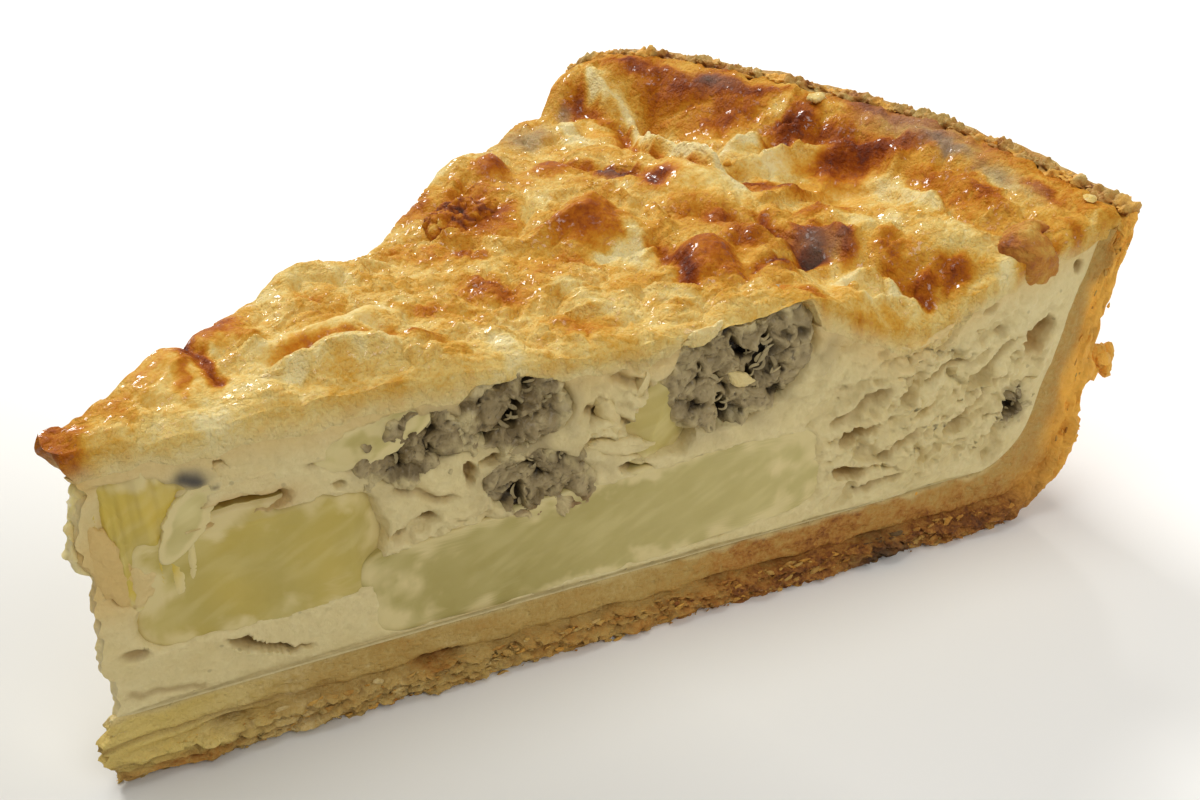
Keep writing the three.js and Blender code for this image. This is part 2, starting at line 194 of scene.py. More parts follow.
def onCut(side, s, d, z):
    # s along a cut from the tip, d into the slice from it, z up; side is -1 for the near cut, 1 for the far one
    x = s * cosHalf + d * sinHalf
    y = side * (s * sinHalf - d * cosHalf)
    return np.stack(np.broadcast_arrays(x, y, z), -1)


def intoSlice(side, depth):
    # a step of that depth into the slice, square to a cut
    return np.stack([depth * sinHalf, -side * depth * cosHalf, 0 * depth], -1)


# Meshes
def makeMesh(name, points, faces, masks=None, material=None):
    # points in millimetres from the tip; faces is a list of whole-number arrays, one for each corner count
    metres = (np.asarray(points, float).reshape(-1, 3) + [tart["tipX"], 0, 0]) * 0.001
    first = faces[0]
    fans = [(first[:, 0], first[:, k], first[:, k + 1]) for k in range(1, first.shape[1] - 1)]
    volume = sum(np.einsum("ij,ij->", metres[a], np.cross(metres[b], metres[c])) for a, b, c in fans)
    if volume < 0:
        faces = [f[:, ::-1] for f in faces]
    mesh = bpy.data.meshes.new(name)
    corners = np.concatenate([f.reshape(-1) for f in faces]).astype(np.int32)
    counts = np.concatenate([np.full(len(f), f.shape[1]) for f in faces])
    starts = np.concatenate([[0], np.cumsum(counts)[:-1]]).astype(np.int32)
    mesh.vertices.add(len(metres))
    mesh.vertices.foreach_set("co", metres.astype(np.float32).reshape(-1))
    mesh.loops.add(len(corners))
    mesh.loops.foreach_set("vertex_index", corners)
    mesh.polygons.add(len(counts))
    mesh.polygons.foreach_set("loop_start", starts)
    mesh.polygons.foreach_set("use_smooth", np.ones(len(counts), bool))
    mesh.update(calc_edges=True)
    mesh.set_sharp_from_angle(angle=np.radians(72))
    for key, values in (masks or {}).items():
        layer = mesh.attributes.new(key, "FLOAT", "POINT")
        flat = np.broadcast_to(values, np.shape(points)[:-1]).reshape(-1)
        layer.data.foreach_set("value", np.clip(flat, 0, 1).astype(np.float32))
    piece = bpy.data.objects.new(name, mesh)
    bpy.context.scene.collection.objects.link(piece)
    if material:
        mesh.materials.append(material)
    return piece


def boxSkin(nu, nv, nw):
    # the skin of a block of nu by nv by nw cells: u, v and w of each point from 0 to 1, and the quads
    sizes = (nu, nv, nw)
    quads = []
    for axis in range(3):
        a, b = (axis + 1) % 3, (axis + 2) % 3
        ia, ib = np.meshgrid(np.arange(sizes[a]), np.arange(sizes[b]), indexing="ij")
        for end in (0, sizes[axis]):
            corners = []
            for da, db in ((0, 0), (1, 0), (1, 1), (0, 1)):
                at = {axis: np.full(ia.shape, end), a: ia + da, b: ib + db}
                corners.append((at[0] * (nv + 1) + at[1]) * (nw + 1) + at[2])
            quad = np.stack(corners, -1).reshape(-1, 4)
            quads.append(quad if end else quad[:, ::-1])
    codes, flat = np.unique(np.concatenate(quads), return_inverse=True)
    w = codes % (nw + 1) / nw
    v = codes // (nw + 1) % (nv + 1) / nv
    u = codes // ((nw + 1) * (nv + 1)) / nu
    return u, v, w, flat.reshape(-1, 4)


def loftFaces(count, around, base=0):
    # quads between closed loops, and a fan to a pole at both ends; the poles come after the loops' points
    i, j = np.meshgrid(np.arange(count - 1), np.arange(around), indexing="ij")
    k = (j + 1) % around
    quads = np.stack([i * around + j, (i + 1) * around + j, (i + 1) * around + k, i * around + k], -1)
    ring = np.arange(around)
    after = (ring + 1) % around
    last = (count - 1) * around
    start = np.stack([np.full(around, count * around), ring, after], -1)
    end = np.stack([np.full(around, count * around + 1), last + after, last + ring], -1)
    return quads.reshape(-1, 4) + base, np.concatenate([start, end]) + base


def withPoles(loops):
    # the loops' points in one list, with the middle of the first and of the last loop after them
    return np.concatenate([loops.reshape(-1, loops.shape[-1]), [loops[0].mean(0)], [loops[-1].mean(0)]])


def loft(name, loops, masks, material):
    faces = loftFaces(*loops.shape[:2])
    values = {key: withPoles(np.broadcast_to(v, loops.shape[:2])[..., None])[:, 0] for key, v in masks.items()}
    return makeMesh(name, withPoles(loops), faces, values, material)


def finish(piece, slot, *nodes):
    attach(piece, "root")
    if nodes:
        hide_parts(*nodes)
    count = sum(len(p.vertices) - 2 for p in piece.data.polygons)
    print("  made", piece.name, "with", count, "triangles")
    return piece


# Shader helpers
def put(tree, kind, inputs=None, **settings):
    # adds a node; an input given as a socket is linked, and any other value is set on it
    node = tree.nodes.new(kind)
    for key, value in settings.items():
        setattr(node, key, value)
    for key, value in (inputs or {}).items():
        if isinstance(value, bpy.types.NodeSocket):
            tree.links.new(value, node.inputs[key])
        else:
            node.inputs[key].default_value = value
    return node


def ramp(tree, factor, stops):
    node = put(tree, "ShaderNodeValToRGB", {"Fac": factor})
    band = node.color_ramp
    while len(band.elements) < len(stops):
        band.elements.new(0.5)
    for element, (at, colour) in zip(band.elements, stops):
        element.position = at
        element.color = (*colour, 1)
    return node.outputs["Color"]


def maths(tree, kind, a, b=0.0, limit=False):
    return put(tree, "ShaderNodeMath", {0: a, 1: b}, operation=kind, use_clamp=limit).outputs[0]


def blend(tree, factor, a, b, kind="MIX"):
    node = put(tree, "ShaderNodeMix", {0: factor, 6: a, 7: b}, data_type="RGBA", blend_type=kind)
    return node.outputs[2]


def stretch(tree, value, low, high, toLow=0.0, toHigh=1.0):
    node = put(tree, "ShaderNodeMapRange", {0: value, 1: low, 2: high, 3: toLow, 4: toHigh}, clamp=True)
    return node.outputs[0]


def mask(tree, name):
    return put(tree, "ShaderNodeAttribute", attribute_name=name).outputs["Fac"]


def newGroup(name, inputs, outputs):
    tree = bpy.data.node_groups.new(name, "ShaderNodeTree")
    for label, kind, value in inputs:
        tree.interface.new_socket(name=label, in_out="INPUT", socket_type=kind).default_value = value
    for label, kind in outputs:
        tree.interface.new_socket(name=label, in_out="OUTPUT", socket_type=kind)
    return tree, tree.nodes.new("NodeGroupInput"), tree.nodes.new("NodeGroupOutput")


def useGroup(tree, group, inputs):
    return put(tree, "ShaderNodeGroup", inputs, node_tree=group).outputs


def makeFoodGrain():
    # mottling, finer grain and scattered specks in the piece's own place, with the bump that goes with them
    tree, given, out = newGroup(
        "foodGrain",
        [("Scale", "NodeSocketFloat", 400.0), ("Relief", "NodeSocketFloat", 0.3),
         ("Depth", "NodeSocketFloat", 0.0003), ("Seed", "NodeSocketFloat", 0.0)],
        [("Mottle", "NodeSocketFloat"), ("Grain", "NodeSocketFloat"), ("Specks", "NodeSocketFloat"),
         ("Normal", "NodeSocketVector")],
    )
    place = put(tree, "ShaderNodeTexCoord").outputs["Object"]
    shift = put(tree, "ShaderNodeVectorMath", {0: place, 1: given.outputs["Seed"]}, operation="ADD").outputs[0]
    fine = maths(tree, "MULTIPLY", given.outputs["Scale"], 3.4)
    coarse = put(tree, "ShaderNodeTexNoise", {"Vector": shift, "Scale": given.outputs["Scale"], "Detail": 4.0})
    small = put(tree, "ShaderNodeTexNoise", {"Vector": shift, "Scale": fine, "Detail": 3.0, "Roughness": 0.6})
    dots = put(tree, "ShaderNodeTexVoronoi", {"Vector": shift, "Scale": maths(tree, "MULTIPLY", fine, 0.45)})
    chance = put(tree, "ShaderNodeSeparateColor", {0: dots.outputs["Color"]}).outputs[0]
    near = stretch(tree, dots.outputs["Distance"], 0.12, 0.2, 1.0, 0.0)
    rare = stretch(tree, chance, 0.9, 0.92)
    height = maths(tree, "ADD", coarse.outputs["Fac"], maths(tree, "MULTIPLY", small.outputs["Fac"], 0.5))
    bump = put(tree, "ShaderNodeBump", {"Strength": given.outputs["Relief"], "Distance": given.outputs["Depth"],
                                        "Height": height})
    tree.links.new(stretch(tree, coarse.outputs["Fac"], 0.3, 0.7), out.inputs["Mottle"])
    tree.links.new(stretch(tree, small.outputs["Fac"], 0.3, 0.7), out.inputs["Grain"])
    tree.links.new(maths(tree, "MULTIPLY", near, rare), out.inputs["Specks"])
    tree.links.new(bump.outputs["Normal"], out.inputs["Normal"])
    return tree


def makeBakedColour():
    # cream through gold and orange brown to burnt, by how far the cheese is browned
    tree, given, out = newGroup("bakedColour", [("Browning", "NodeSocketFloat", 0.3)],
                                [("Color", "NodeSocketColor")])
    colour = ramp(tree, given.outputs["Browning"], [
        (0.0, (0.80, 0.66, 0.32)),
        (0.15, (0.76, 0.54, 0.17)),
        (0.3, (0.66, 0.35, 0.05)),
        (0.45, (0.54, 0.205, 0.014)),
        (0.58, (0.41, 0.115, 0.007)),
        (0.7, (0.28, 0.062, 0.007)),
        (0.83, (0.15, 0.027, 0.006)),
        (1.0, (0.06, 0.013, 0.005)),
    ])
    tree.links.new(colour, out.inputs["Color"])
    return tree


foodGrain = makeFoodGrain()
bakedColour = makeBakedColour()


def newMaterial(name, **shaderValues):
    # a Principled material; the values are the same all over it, so they are set on the shader itself
    material = bpy.data.materials.new(name)
    material.use_nodes = True
    tree = material.node_tree
    shader = tree.nodes["Principled BSDF"]
    for key, value in shaderValues.items():
        label = {"subsurface": "Subsurface Weight", "radius": "Subsurface Radius", "depth": "Subsurface Scale",
                 "coat": "Coat Weight", "coatRoughness": "Coat Roughness", "specular": "Specular IOR Level",
                 "ior": "IOR", "sheen": "Sheen Weight"}[key]
        shader.inputs[label].default_value = value
    return material, tree, shader


def makeCheeseMaterial():
    # golden and brown skin with small wet glints, cream where the cut shows the inside
    material, tree, shader = newMaterial("brownedCheese", subsurface=0.08, radius=(1.0, 0.5, 0.2), depth=0.0010,
                                         specular=0.05, coatRoughness=0.13)
    calm = mask(tree, "calm")
    relief = stretch(tree, calm, 0, 1, 1.0, 0.35)
    grain = useGroup(tree, foodGrain, {"Scale": 560.0, "Relief": relief, "Depth": 0.0009})
    broad = useGroup(tree, foodGrain, {"Scale": 170.0, "Relief": 0.0, "Seed": 3.0})
    brown = mask(tree, "browning")
    for part, amount in ((grain["Mottle"], 0.12), (grain["Grain"], 0.14), (broad["Mottle"], 0.1)):
        brown = maths(tree, "ADD", brown, maths(tree, "MULTIPLY", maths(tree, "SUBTRACT", part, 0.5), amount))
    skin = useGroup(tree, bakedColour, {"Browning": brown})["Color"]
    inside = blend(tree, grain["Mottle"], (0.80, 0.65, 0.32, 1), (0.74, 0.57, 0.25, 1))
    colour = blend(tree, mask(tree, "inside"), skin, inside)
    colour = blend(tree, maths(tree, "MULTIPLY", mask(tree, "ash"), 0.75), colour, (0.25, 0.205, 0.16, 1))
    tree.links.new(colour, shader.inputs["Base Color"])
    rough = maths(tree, "SUBTRACT", 0.58, maths(tree, "MULTIPLY", mask(tree, "wet"), 0.14))
    tree.links.new(rough, shader.inputs["Roughness"])
    drops = maths(tree, "MULTIPLY", stretch(tree, grain["Grain"], 0.5, 0.75), stretch(tree, broad["Grain"], 0.42, 0.65))
    film = maths(tree, "MULTIPLY", mask(tree, "wet"), maths(tree, "MULTIPLY", drops, 1.5), limit=True)
    tree.links.new(film, shader.inputs["Coat Weight"])
    tree.links.new(grain["Normal"], shader.inputs["Normal"])
    return material


def makeCustardMaterial():
    # cream set custard: golden under the skin, brown painted shade in its holes, cracks and grain valleys, an orange
    # painted glow in some holes, grey where mushroom has stained it
    material, tree, shader = newMaterial("custard", subsurface=0.1, radius=(1.0, 0.6, 0.3), depth=0.0009,
                                         specular=0.35)
    grain = useGroup(tree, foodGrain, {"Scale": 420.0, "Relief": 0.75, "Depth": 0.0005})
    broad = useGroup(tree, foodGrain, {"Scale": 90.0, "Relief": 0.0, "Seed": 5.0})
    colour = blend(tree, broad["Mottle"], (0.76, 0.635, 0.325, 1), (0.71, 0.575, 0.27, 1))
    colour = blend(tree, maths(tree, "MULTIPLY", grain["Mottle"], 0.4), colour, (0.82, 0.71, 0.40, 1))
    # painted shade in the valleys of the fine grain
    painted_valley_shade = maths(tree, "SUBTRACT", 1.0, grain["Grain"])
    colour = blend(tree, maths(tree, "MULTIPLY", painted_valley_shade, 0.4), colour, (0.60, 0.47, 0.205, 1))
    colour = blend(tree, mask(tree, "gold"), colour, (0.66, 0.40, 0.10, 1))
    colour = blend(tree, mask(tree, "stain"), colour, (0.33, 0.25, 0.12, 1))
    # painted shade in holes and cracks, then an orange painted glow in some holes
    colour = blend(tree, mask(tree, "pit"), colour, (0.30, 0.175, 0.05, 1))
    colour = blend(tree, mask(tree, "glow"), colour, (0.47, 0.225, 0.03, 1))
    colour = blend(tree, mask(tree, "dark"), colour, (0.045, 0.042, 0.045, 1))
    specks = maths(tree, "MULTIPLY", grain["Specks"], 0.3)
    colour = blend(tree, specks, colour, (0.16, 0.11, 0.06, 1))
    tree.links.new(colour, shader.inputs["Base Color"])
    tree.links.new(stretch(tree, grain["Grain"], 0, 1, 0.42, 0.62), shader.inputs["Roughness"])
    tree.links.new(grain["Normal"], shader.inputs["Normal"])
    return material


def makePotatoMaterial():
    # boiled potato: waxy, slightly see-through, olive yellow to ochre, with a few pale grains
    material, tree, shader = newMaterial("potato", subsurface=0.15, radius=(1.0, 0.75, 0.3), depth=0.0012,
                                         specular=0.32)
    grain = useGroup(tree, foodGrain, {"Scale": 260.0, "Relief": 0.22, "Depth": 0.0002, "Seed": 2.0})
    broad = useGroup(tree, foodGrain, {"Scale": 70.0, "Relief": 0.0, "Seed": 8.0})
    colour = blend(tree, broad["Mottle"], (0.455, 0.375, 0.122, 1), (0.395, 0.32, 0.09, 1))
    colour = blend(tree, maths(tree, "MULTIPLY", grain["Mottle"], 0.35), colour, (0.56, 0.475, 0.19, 1))
    colour = blend(tree, mask(tree, "ochre"), colour, (0.67, 0.48, 0.065, 1))
    colour = blend(tree, mask(tree, "pale"), colour, (0.80, 0.69, 0.33, 1))
    colour = blend(tree, mask(tree, "smear"), colour, (0.75, 0.62, 0.30, 1))
    tree.links.new(colour, shader.inputs["Base Color"])
    tree.links.new(stretch(tree, grain["Grain"], 0, 1, 0.34, 0.5), shader.inputs["Roughness"])
    tree.links.new(grain["Normal"], shader.inputs["Normal"])
    return material


def makeMushroomMaterial():
    # wet grey-brown mushroom, painted near black in its hollows as shade, and pale along torn edges
    material, tree, shader = newMaterial("mushroom", subsurface=0.04, radius=(1.0, 0.7, 0.45), depth=0.0008,
                                         specular=0.2, coat=0.22, coatRoughness=0.12)
    grain = useGroup(tree, foodGrain, {"Scale": 700.0, "Relief": 0.9, "Depth": 0.0005, "Seed": 1.0})
    broad = useGroup(tree, foodGrain, {"Scale": 180.0, "Relief": 0.0, "Seed": 6.0})
    colour = blend(tree, broad["Mottle"], (0.25, 0.175, 0.068, 1), (0.12, 0.08, 0.03, 1))
    colour = blend(tree, maths(tree, "MULTIPLY", grain["Mottle"], 0.6), colour, (0.20, 0.145, 0.07, 1))
    colour = blend(tree, mask(tree, "torn"), colour, (0.48, 0.375, 0.19, 1))
    colour = blend(tree, mask(tree, "toast"), colour, (0.30, 0.12, 0.022, 1))
    # painted shade: near black in the hollows
    colour = blend(tree, mask(tree, "hollow"), colour, (0.018, 0.011, 0.006, 1))
    colour = blend(tree, mask(tree, "veil"), colour, (0.66, 0.54, 0.27, 1))
    tree.links.new(colour, shader.inputs["Base Color"])
    tree.links.new(stretch(tree, grain["Grain"], 0, 1, 0.28, 0.5), shader.inputs["Roughness"])
    tree.links.new(grain["Normal"], shader.inputs["Normal"])
    return material


def makePastryMaterial():
    # pale dough inside, flaky brown where it met the tin, darker in the cracks as painted shade, amber tone and painted
    # glow where light would come through thin places, one burnt patch
    material, tree, shader = newMaterial("pastry", subsurface=0.06, radius=(1.0, 0.5, 0.2), depth=0.0012,
                                         specular=0.3)
    grain = useGroup(tree, foodGrain, {"Scale": 620.0, "Relief": 1.0, "Depth": 0.0007, "Seed": 4.0})
    broad = useGroup(tree, foodGrain, {"Scale": 110.0, "Relief": 0.0, "Seed": 9.0})
    bake = mask(tree, "bake")
    uneven = maths(tree, "MULTIPLY", maths(tree, "SUBTRACT", grain["Mottle"], 0.5), 0.3)
    uneven = maths(tree, "ADD", uneven, maths(tree, "MULTIPLY", maths(tree, "SUBTRACT", grain["Grain"], 0.5), 0.3))
    uneven = maths(tree, "ADD", uneven, maths(tree, "MULTIPLY", maths(tree, "SUBTRACT", broad["Mottle"], 0.5), 0.1))
    # baked places are more uneven than pale dough
    bake = maths(tree, "ADD", bake, maths(tree, "MULTIPLY", uneven, stretch(tree, bake, 0.1, 0.5, 0.3, 1.0)))
    colour = ramp(tree, bake, [
        (0.0, (0.66, 0.50, 0.22)),
        (0.1, (0.55, 0.375, 0.12)),
        (0.22, (0.50, 0.315, 0.085)),
        (0.4, (0.50, 0.27, 0.06)),
        (0.6, (0.42, 0.175, 0.028)),
        (0.78, (0.24, 0.08, 0.014)),
        (1.0, (0.08, 0.027, 0.01)),
    ])
    # yellow and amber painted glow, then painted shade in the cracks
    colour = blend(tree, mask(tree, "butter"), colour, (0.72, 0.545, 0.15, 1))
    colour = blend(tree, mask(tree, "amber"), colour, (0.94, 0.48, 0.07, 1))
    colour = blend(tree, maths(tree, "MULTIPLY", mask(tree, "cavity"), 0.75), colour, (0.17, 0.062, 0.011, 1))
    colour = blend(tree, mask(tree, "burnt"), colour, (0.045, 0.028, 0.02, 1))
    colour = blend(tree, mask(tree, "smear"), colour, (0.68, 0.53, 0.225, 1))
    tree.links.new(colour, shader.inputs["Base Color"])
    tree.links.new(stretch(tree, grain["Grain"], 0, 1, 0.5, 0.75), shader.inputs["Roughness"])
    tree.links.new(grain["Normal"], shader.inputs["Normal"])
    return material


cheeseMaterial = makeCheeseMaterial()
custardMaterial = makeCustardMaterial()
potatoMaterial = makePotatoMaterial()
mushroomMaterial = makeMushroomMaterial()
pastryMaterial = makePastryMaterial()
print("materials made")

# The browned top's shape, which the custard under it follows too
cheeseTop = {
    # round swellings and hollows, the same as the solid has: x, y, width, rise
    "swells": [
        (20, 7, 17, 2.4), (11, 6, 7, 1.8), (36, 15, 8, 1.9), (32, -6, 7, 1.7), (41, -12, 5, 0.8), (54, 22, 12, -3.2),
        (75, 27, 5, 1.7), (72, 3, 5, 1.7), (69, -8, 4, -1.2), (76, -12, 6, 1.6), (91, 3, 8, 2.3),
        (88, 32, 9, -2.8), (104, 42, 8, -3.5), (107, -10, 9, -4.6), (105, 24, 12, -3.2), (86, -23, 5, -2.8),
        (86, -38, 10, -6.5), (74, -31, 5, 1.6), (96, -28, 6, 1.4),
    ],
    # smaller lumps that only show close up: x, y, long, wide, turn, rise
    "lumps": [
        (21.5, 7, 3.5, 3, 0, 0.8), (35.5, 12, 3, 2, -30, 0.6), (70, 1, 6, 4, -5, 1.4),
        (72.5, -15.5, 3.5, 4.5, -55, 1.2), (82, -12.5, 3, 2.5, -5, 0.7), (88, 0.5, 7, 4.5, 85, 1),
        (81.5, 18.5, 3, 2.5, -60, 0.9), (75, 23.5, 2.5, 3, -75, 1), (78, -22, 2.5, 3.5, -40, 0.8),
        (90.5, -22.5, 3, 1.5, 50, 1), (81, -31, 4, 2, 65, 0.8), (88.5, -32.5, 2.5, 1.5, 80, 0.8),
        (41.5, -14, 4, 2, 90, 0.5), (98, 31.5, 5, 1.5, 60, 0.7), (86, -6.5, 2.5, 2.5, -70, 0.6),
        (91, -33.5, 2, 2, -75, 0.6), (94.5, -36, 1.5, 2, -90, 0.6), (99, -32.5, 4, 3.5, -85, 0.6),
        (14, 6.5, 3.5, 2, -90, 0.5), (23, 3.5, 2, 1.5, -85, 0.5), (56.5, -8.5, 4, 2, -90, 0.6),
        (106, 30, 5, 2, -90, 0.6), (50, -2, 3.5, 2, -75, 0.5), (35.5, -8, 3, 2, -60, 0.5),
    ],
    # folds: a bent line, width, rise, and how much narrower its steep side is (left of its direction if positive)
    "folds": [
        ([(23, 2), (29, -1), (39.5, 0.5), (44.5, -0.5)], 2.4, 1, 0.45),
        ([(23, -4), (28, -5), (33, -8), (33.5, -12)], 2.4, 1, -0.45),
        ([(110.5, 39), (108.5, 34), (109, 29.5), (99.5, 16), (97, 8), (95.5, 2)], 1.2, 1.2, 0.7),
        ([(82, -31.5), (87, -31.5), (88.5, -29), (87, -26.5), (83.5, -26.5)], 0.9, 0.9, 0.7),
        ([(100.5, 2.5), (111, -0.5), (115, -11), (114, -15)], 1.8, 1.3, 0.5),
        ([(93, -9), (109, -7.5), (111, -14.5), (104.5, -25.5)], 1.8, 1, -0.5),
        ([(79.5, 8), (80, 0), (77, -6)], 1.6, 0.9, 0.5),
        ([(103.5, 7), (111, 5), (115, 2.5)], 1.4, 0.9, 0.5),
        ([(18.5, -7), (23.5, -11.5), (28.5, -13)], 1.8, 0.6, -0.5),
        ([(62, -14.5), (66, -19.5), (67, -25.5)], 1.6, 0.6, -0.5),
        ([(70, 20.5), (71.5, 11), (72.5, 3)], 1.6, 0.6, 0.5),
        ([(114, -15.5), (111.5, -25), (107.5, -35)], 2, 0.8, 0.5),
        ([(58.5, 14), (61.5, 4.5), (68, 1.5)], 1.6, 0.7, -0.5),
    ],
    # thin creases: a bent line, width, depth, how much darker painted shade makes them
    "creases": [
        ([(108, 40), (105.5, 33), (105, 28), (96, 15), (93.5, 6), (92, 1)], 1.2, 1.0, 0.36),
        ([(85.5, 21), (86.5, 10.5), (85.5, 3)], 1.3, 0.8, 0.35), ([(18, 9), (16.5, 4), (16.5, 0)], 0.7, 0.6, 0.6),
        ([(22.5, -1), (28.5, -2.5), (34.5, -5.5)], 1.1, 0.8, 0.24), ([(76, -20.5), (79, -21), (85.5, -20)], 0.9, 0.8, 0.35),
        ([(88, -12), (85.5, -18), (87, -21.5)], 1.1, 0.6, 0.4), ([(73.5, -6.5), (70.5, -12.5), (68, -17)], 1.0, 0.8, 0.4),
        ([(89, -28.5), (90, -35)], 0.9, 1.0, 0.3), ([(79, -33), (80.5, -36)], 0.8, 1.0, 0.25),
    ],
    "crease": ([(112, 36), (98, -1)], 2.6, 2.2),
    "climb": (8.5, 0.93, 0.1),   # length, share and distance below the rim
    # browned places: x, y, long, wide, turn, amount
    "browned": [
        (114, 30.5, 6.5, 2, 85, 0.9), (112, 24, 4, 3, -60, 0.45), (106.5, 39, 3, 2, -20, 0.5),
        (114.5, 16, 5, 3.5, -60, 0.4), (117, 15.5, 9.5, 1.5, -75, 0.5), (112.5, 3.5, 6, 2, 5, 1.5),
        (114.5, -3, 6, 2.2, -80, 0.9), (112.5, -9, 8, 2.2, -60, 0.9), (97.5, -5, 4.5, 2.5, -65, 0.9),
        (110, -25.5, 6, 3, 75, 0.35), (109, -31, 3.5, 1, 60, 0.4), (121, -9, 6.5, 2, 85, 0.5),
        (112.5, -36.5, 3.5, 1, 65, 0.6), (96.5, -15, 3.5, 2, -20, 0.6), (89.5, -18.5, 3, 3, -65, 1),
        (87, -20.5, 1, 1, 65, 0.7), (90.5, -22.5, 3.5, 1, 45, 0.85), (83.5, -9.5, 6, 3, -75, 0.7),
        (80.5, -15, 3, 2, -60, 0.6), (72.5, -15.5, 3.8, 5, -65, 0.62), (69.5, -0.5, 4.5, 3, -5, 0.5),
        (68, 0.5, 2.5, 1.5, -45, 0.1), (75, -12, 3, 2.5, 0, 0.22), (85.5, 11.5, 2.5, 1.5, -90, 0.9), (85.5, 4.5, 2, 2, -80, 0.55),
        (81.5, 18.5, 3, 2.5, -60, 0.55), (75, 23.5, 2, 2.5, -75, 0.42), (68, 13.5, 1.5, 2, 90, 0.9),
        (57, 8, 2.5, 1.5, -70, 0.5), (50.5, -2.5, 4, 2.2, -75, 0.66), (63.5, -4, 4.5, 1.5, -65, 0.35),
        (65.5, 4, 3, 1.5, -65, 0.35), (64.5, 17, 7, 4.5, 60, 0.6), (84, -29, 1.2, 0.9, -25, 0.8), (93, -28, 3.4, 2.4, 50, 0.55), (74.5, -28.5, 2.5, 1.5, -60, 0.45),
        (79.5, -22, 2, 1.5, 90, 0.42), (91, -33.5, 2, 2, -75, 0.5), (94.5, -36, 1.5, 2, -60, 0.5),
        (94.5, -34.5, 2, 2.5, -70, 0.35), (102, -42, 3, 1, -20, 0.5), (0, -0.5, 2.6, 2, 10, 0.95), (12.5, 4, 4.5, 2.5, 10, 0.3),
        (3, 1, 2, 2, -5, 0.25), (7.5, 1.5, 2, 2, -20, 0.15), (14.5, 2.5, 3.5, 0.5, 60, 0.7),
        (17.5, 9, 2.5, 0.5, 80, 0.6), (21, 8, 3.5, 2.4, 5, 0.75), (23, 3.5, 1.5, 1.5, -70, 0.3),
        (33, 9, 2.5, 1, -85, 0.3), (26.5, -1, 2.5, 1, -20, 0.3), (22, -6, 2.5, 1, 0, 0.15),
        (27, -12, 3.5, 1.5, -35, 0.5), (24, 9, 3, 2.6, 0, 0.2), (40, -1.5, 3, 1.5, -35, 0.42), (35.5, -8, 3, 2, -55, 0.3),
        (36.5, -13, 1.5, 1.5, -90, 0.28), (51.5, -15, 4.5, 2.5, -55, 0.22), (63.5, 25.5, 4, 1.5, 25, 0.35),
        (53.5, 13.5, 6.5, 3.5, -70, 0.16), (112, 13.5, 5, 3, -60, 0.3), (107, -45, 3, 1, 60, 0.4),
        (110, 22.5, 5, 1.5, 75, 0.2),
    ],
    # pale places: x, y, long, wide, turn, amount
    "cream": [
        (14.5, -8, 3.5, 1.5, -50, 0.3), (30.5, -7.5, 3.5, 1.5, -45, 0.16), (41.5, -14, 4, 2, 80, 0.36),
        (56.5, -8, 4, 1.5, 90, 0.22), (30, 11.5, 2, 1.5, -80, 0.12), (69.5, -5.5, 4, 2.6, 5, 0.12),
        (71, 11, 3, 2.5, -65, 0.12), (98, 31.5, 5.5, 1.5, 60, 0.35), (105, 31, 3, 1.5, 90, 0.2),
        (96.5, -21.5, 3, 2.5, -85, 0.24), (84.5, -28, 4, 2, 65, 0.3), (88.5, -32.5, 2.5, 1.5, 80, 0.26),
        (64, -20, 6, 1, -70, 0.16), (99, -32.5, 4, 3, -85, 0.24), (98.5, -40.5, 2, 1.5, 65, 0.24),
        (88, 0.5, 6, 4, -90, 0.14), (107, -0.5, 7.5, 1.5, -25, 0.3), (107, 3.5, 5, 1, 0, 0.24),
        (13.5, 6.5, 3, 1.5, -85, 0.1), (19, -4, 6, 3, 10, 0.14), (37, 13, 7, 3, 20, 0.12),
    ],
    # pale strands: a bent line, width, amount
    "paleLines": [
        ([(110.5, 39), (108.5, 34), (109, 29.5), (99.5, 16), (97, 8), (95.5, 2), (92.5, -4.5)], 0.95, 0.5),
        ([(23, 2), (29, -1), (39.5, 0.5)], 1.6, 0.24), ([(111, -14), (104.5, -25.5)], 1.4, 0.3),
        ([(103.5, 7), (111.5, 4.5)], 1.2, 0.25), ([(66.5, -5), (72.5, -4), (69, -8.5)], 1.2, 0.25),
        ([(23, -4), (28, -5)], 1.4, 0.14), ([(82, -31.5), (87, -31.5), (88.5, -29), (87, -26.5), (83.5, -26.5)], 1.0, 0.3),
    ],
    # grey places, where mushroom shows or fat has dulled the skin
    "ash": [
        (92, 34.5, 4, 3, 0, 0.8), (105, 39.5, 1.5, 1.5, -80, 0.8), (85.5, 11.5, 2, 1.5, -85, 0.5),
        (88.5, -20, 3.2, 2.4, -60, 0.6), (116.5, -20, 4, 1, 75, 0.85), (113.5, -29, 3.5, 1, 65, 0.45),
        (116.5, 19.5, 4, 1.5, -75, 0.45), (119, -14, 12, 2.6, 80, 0.6), (113, -32, 7, 1.6, 70, 0.35),
    ],
    "sugary": (53, -3, 13, 17, 0),
    # smooth places: x, y, long, wide, turn
    "calm": [
        (21, 7, 4, 3, 0), (70, 0.5, 5, 3.6, -5), (73.5, -15.5, 3.5, 4, -65), (88, 0.5, 7, 4.5, 85), (82, 18.5, 3, 2.5, -60),
        (75, 23.5, 2.5, 3, -75), (108, -9, 7, 3.6, -35), (30, -0.5, 9, 1.8, 0), (83, -29, 4.5, 2.5, 65), (13, 2, 4, 5, 0),
        (104, 22, 2, 12, 20), (108, -2, 6, 1.5, -25),
    ],
    "baseBrown": 0.26,
    "lumpScale": 1.3,
    "foldScale": 1.35,
    "tipRise": 1.5,   # the nub at the tip stands this much higher
    "overRim": 0.35,   # how far the cheese lies over the crust
    "limit": 44.7,
}


def rimDip(angle):
    half = tart["halfAngle"]
    dip = tart["farDip"] * smooth(angle, 0.75 * half, half) + tart["nearDip"] * smooth(-angle, 0.5 * half, half)
    return dip + tart["brokenCorner"] * smooth(angle, 0.93 * half, half)


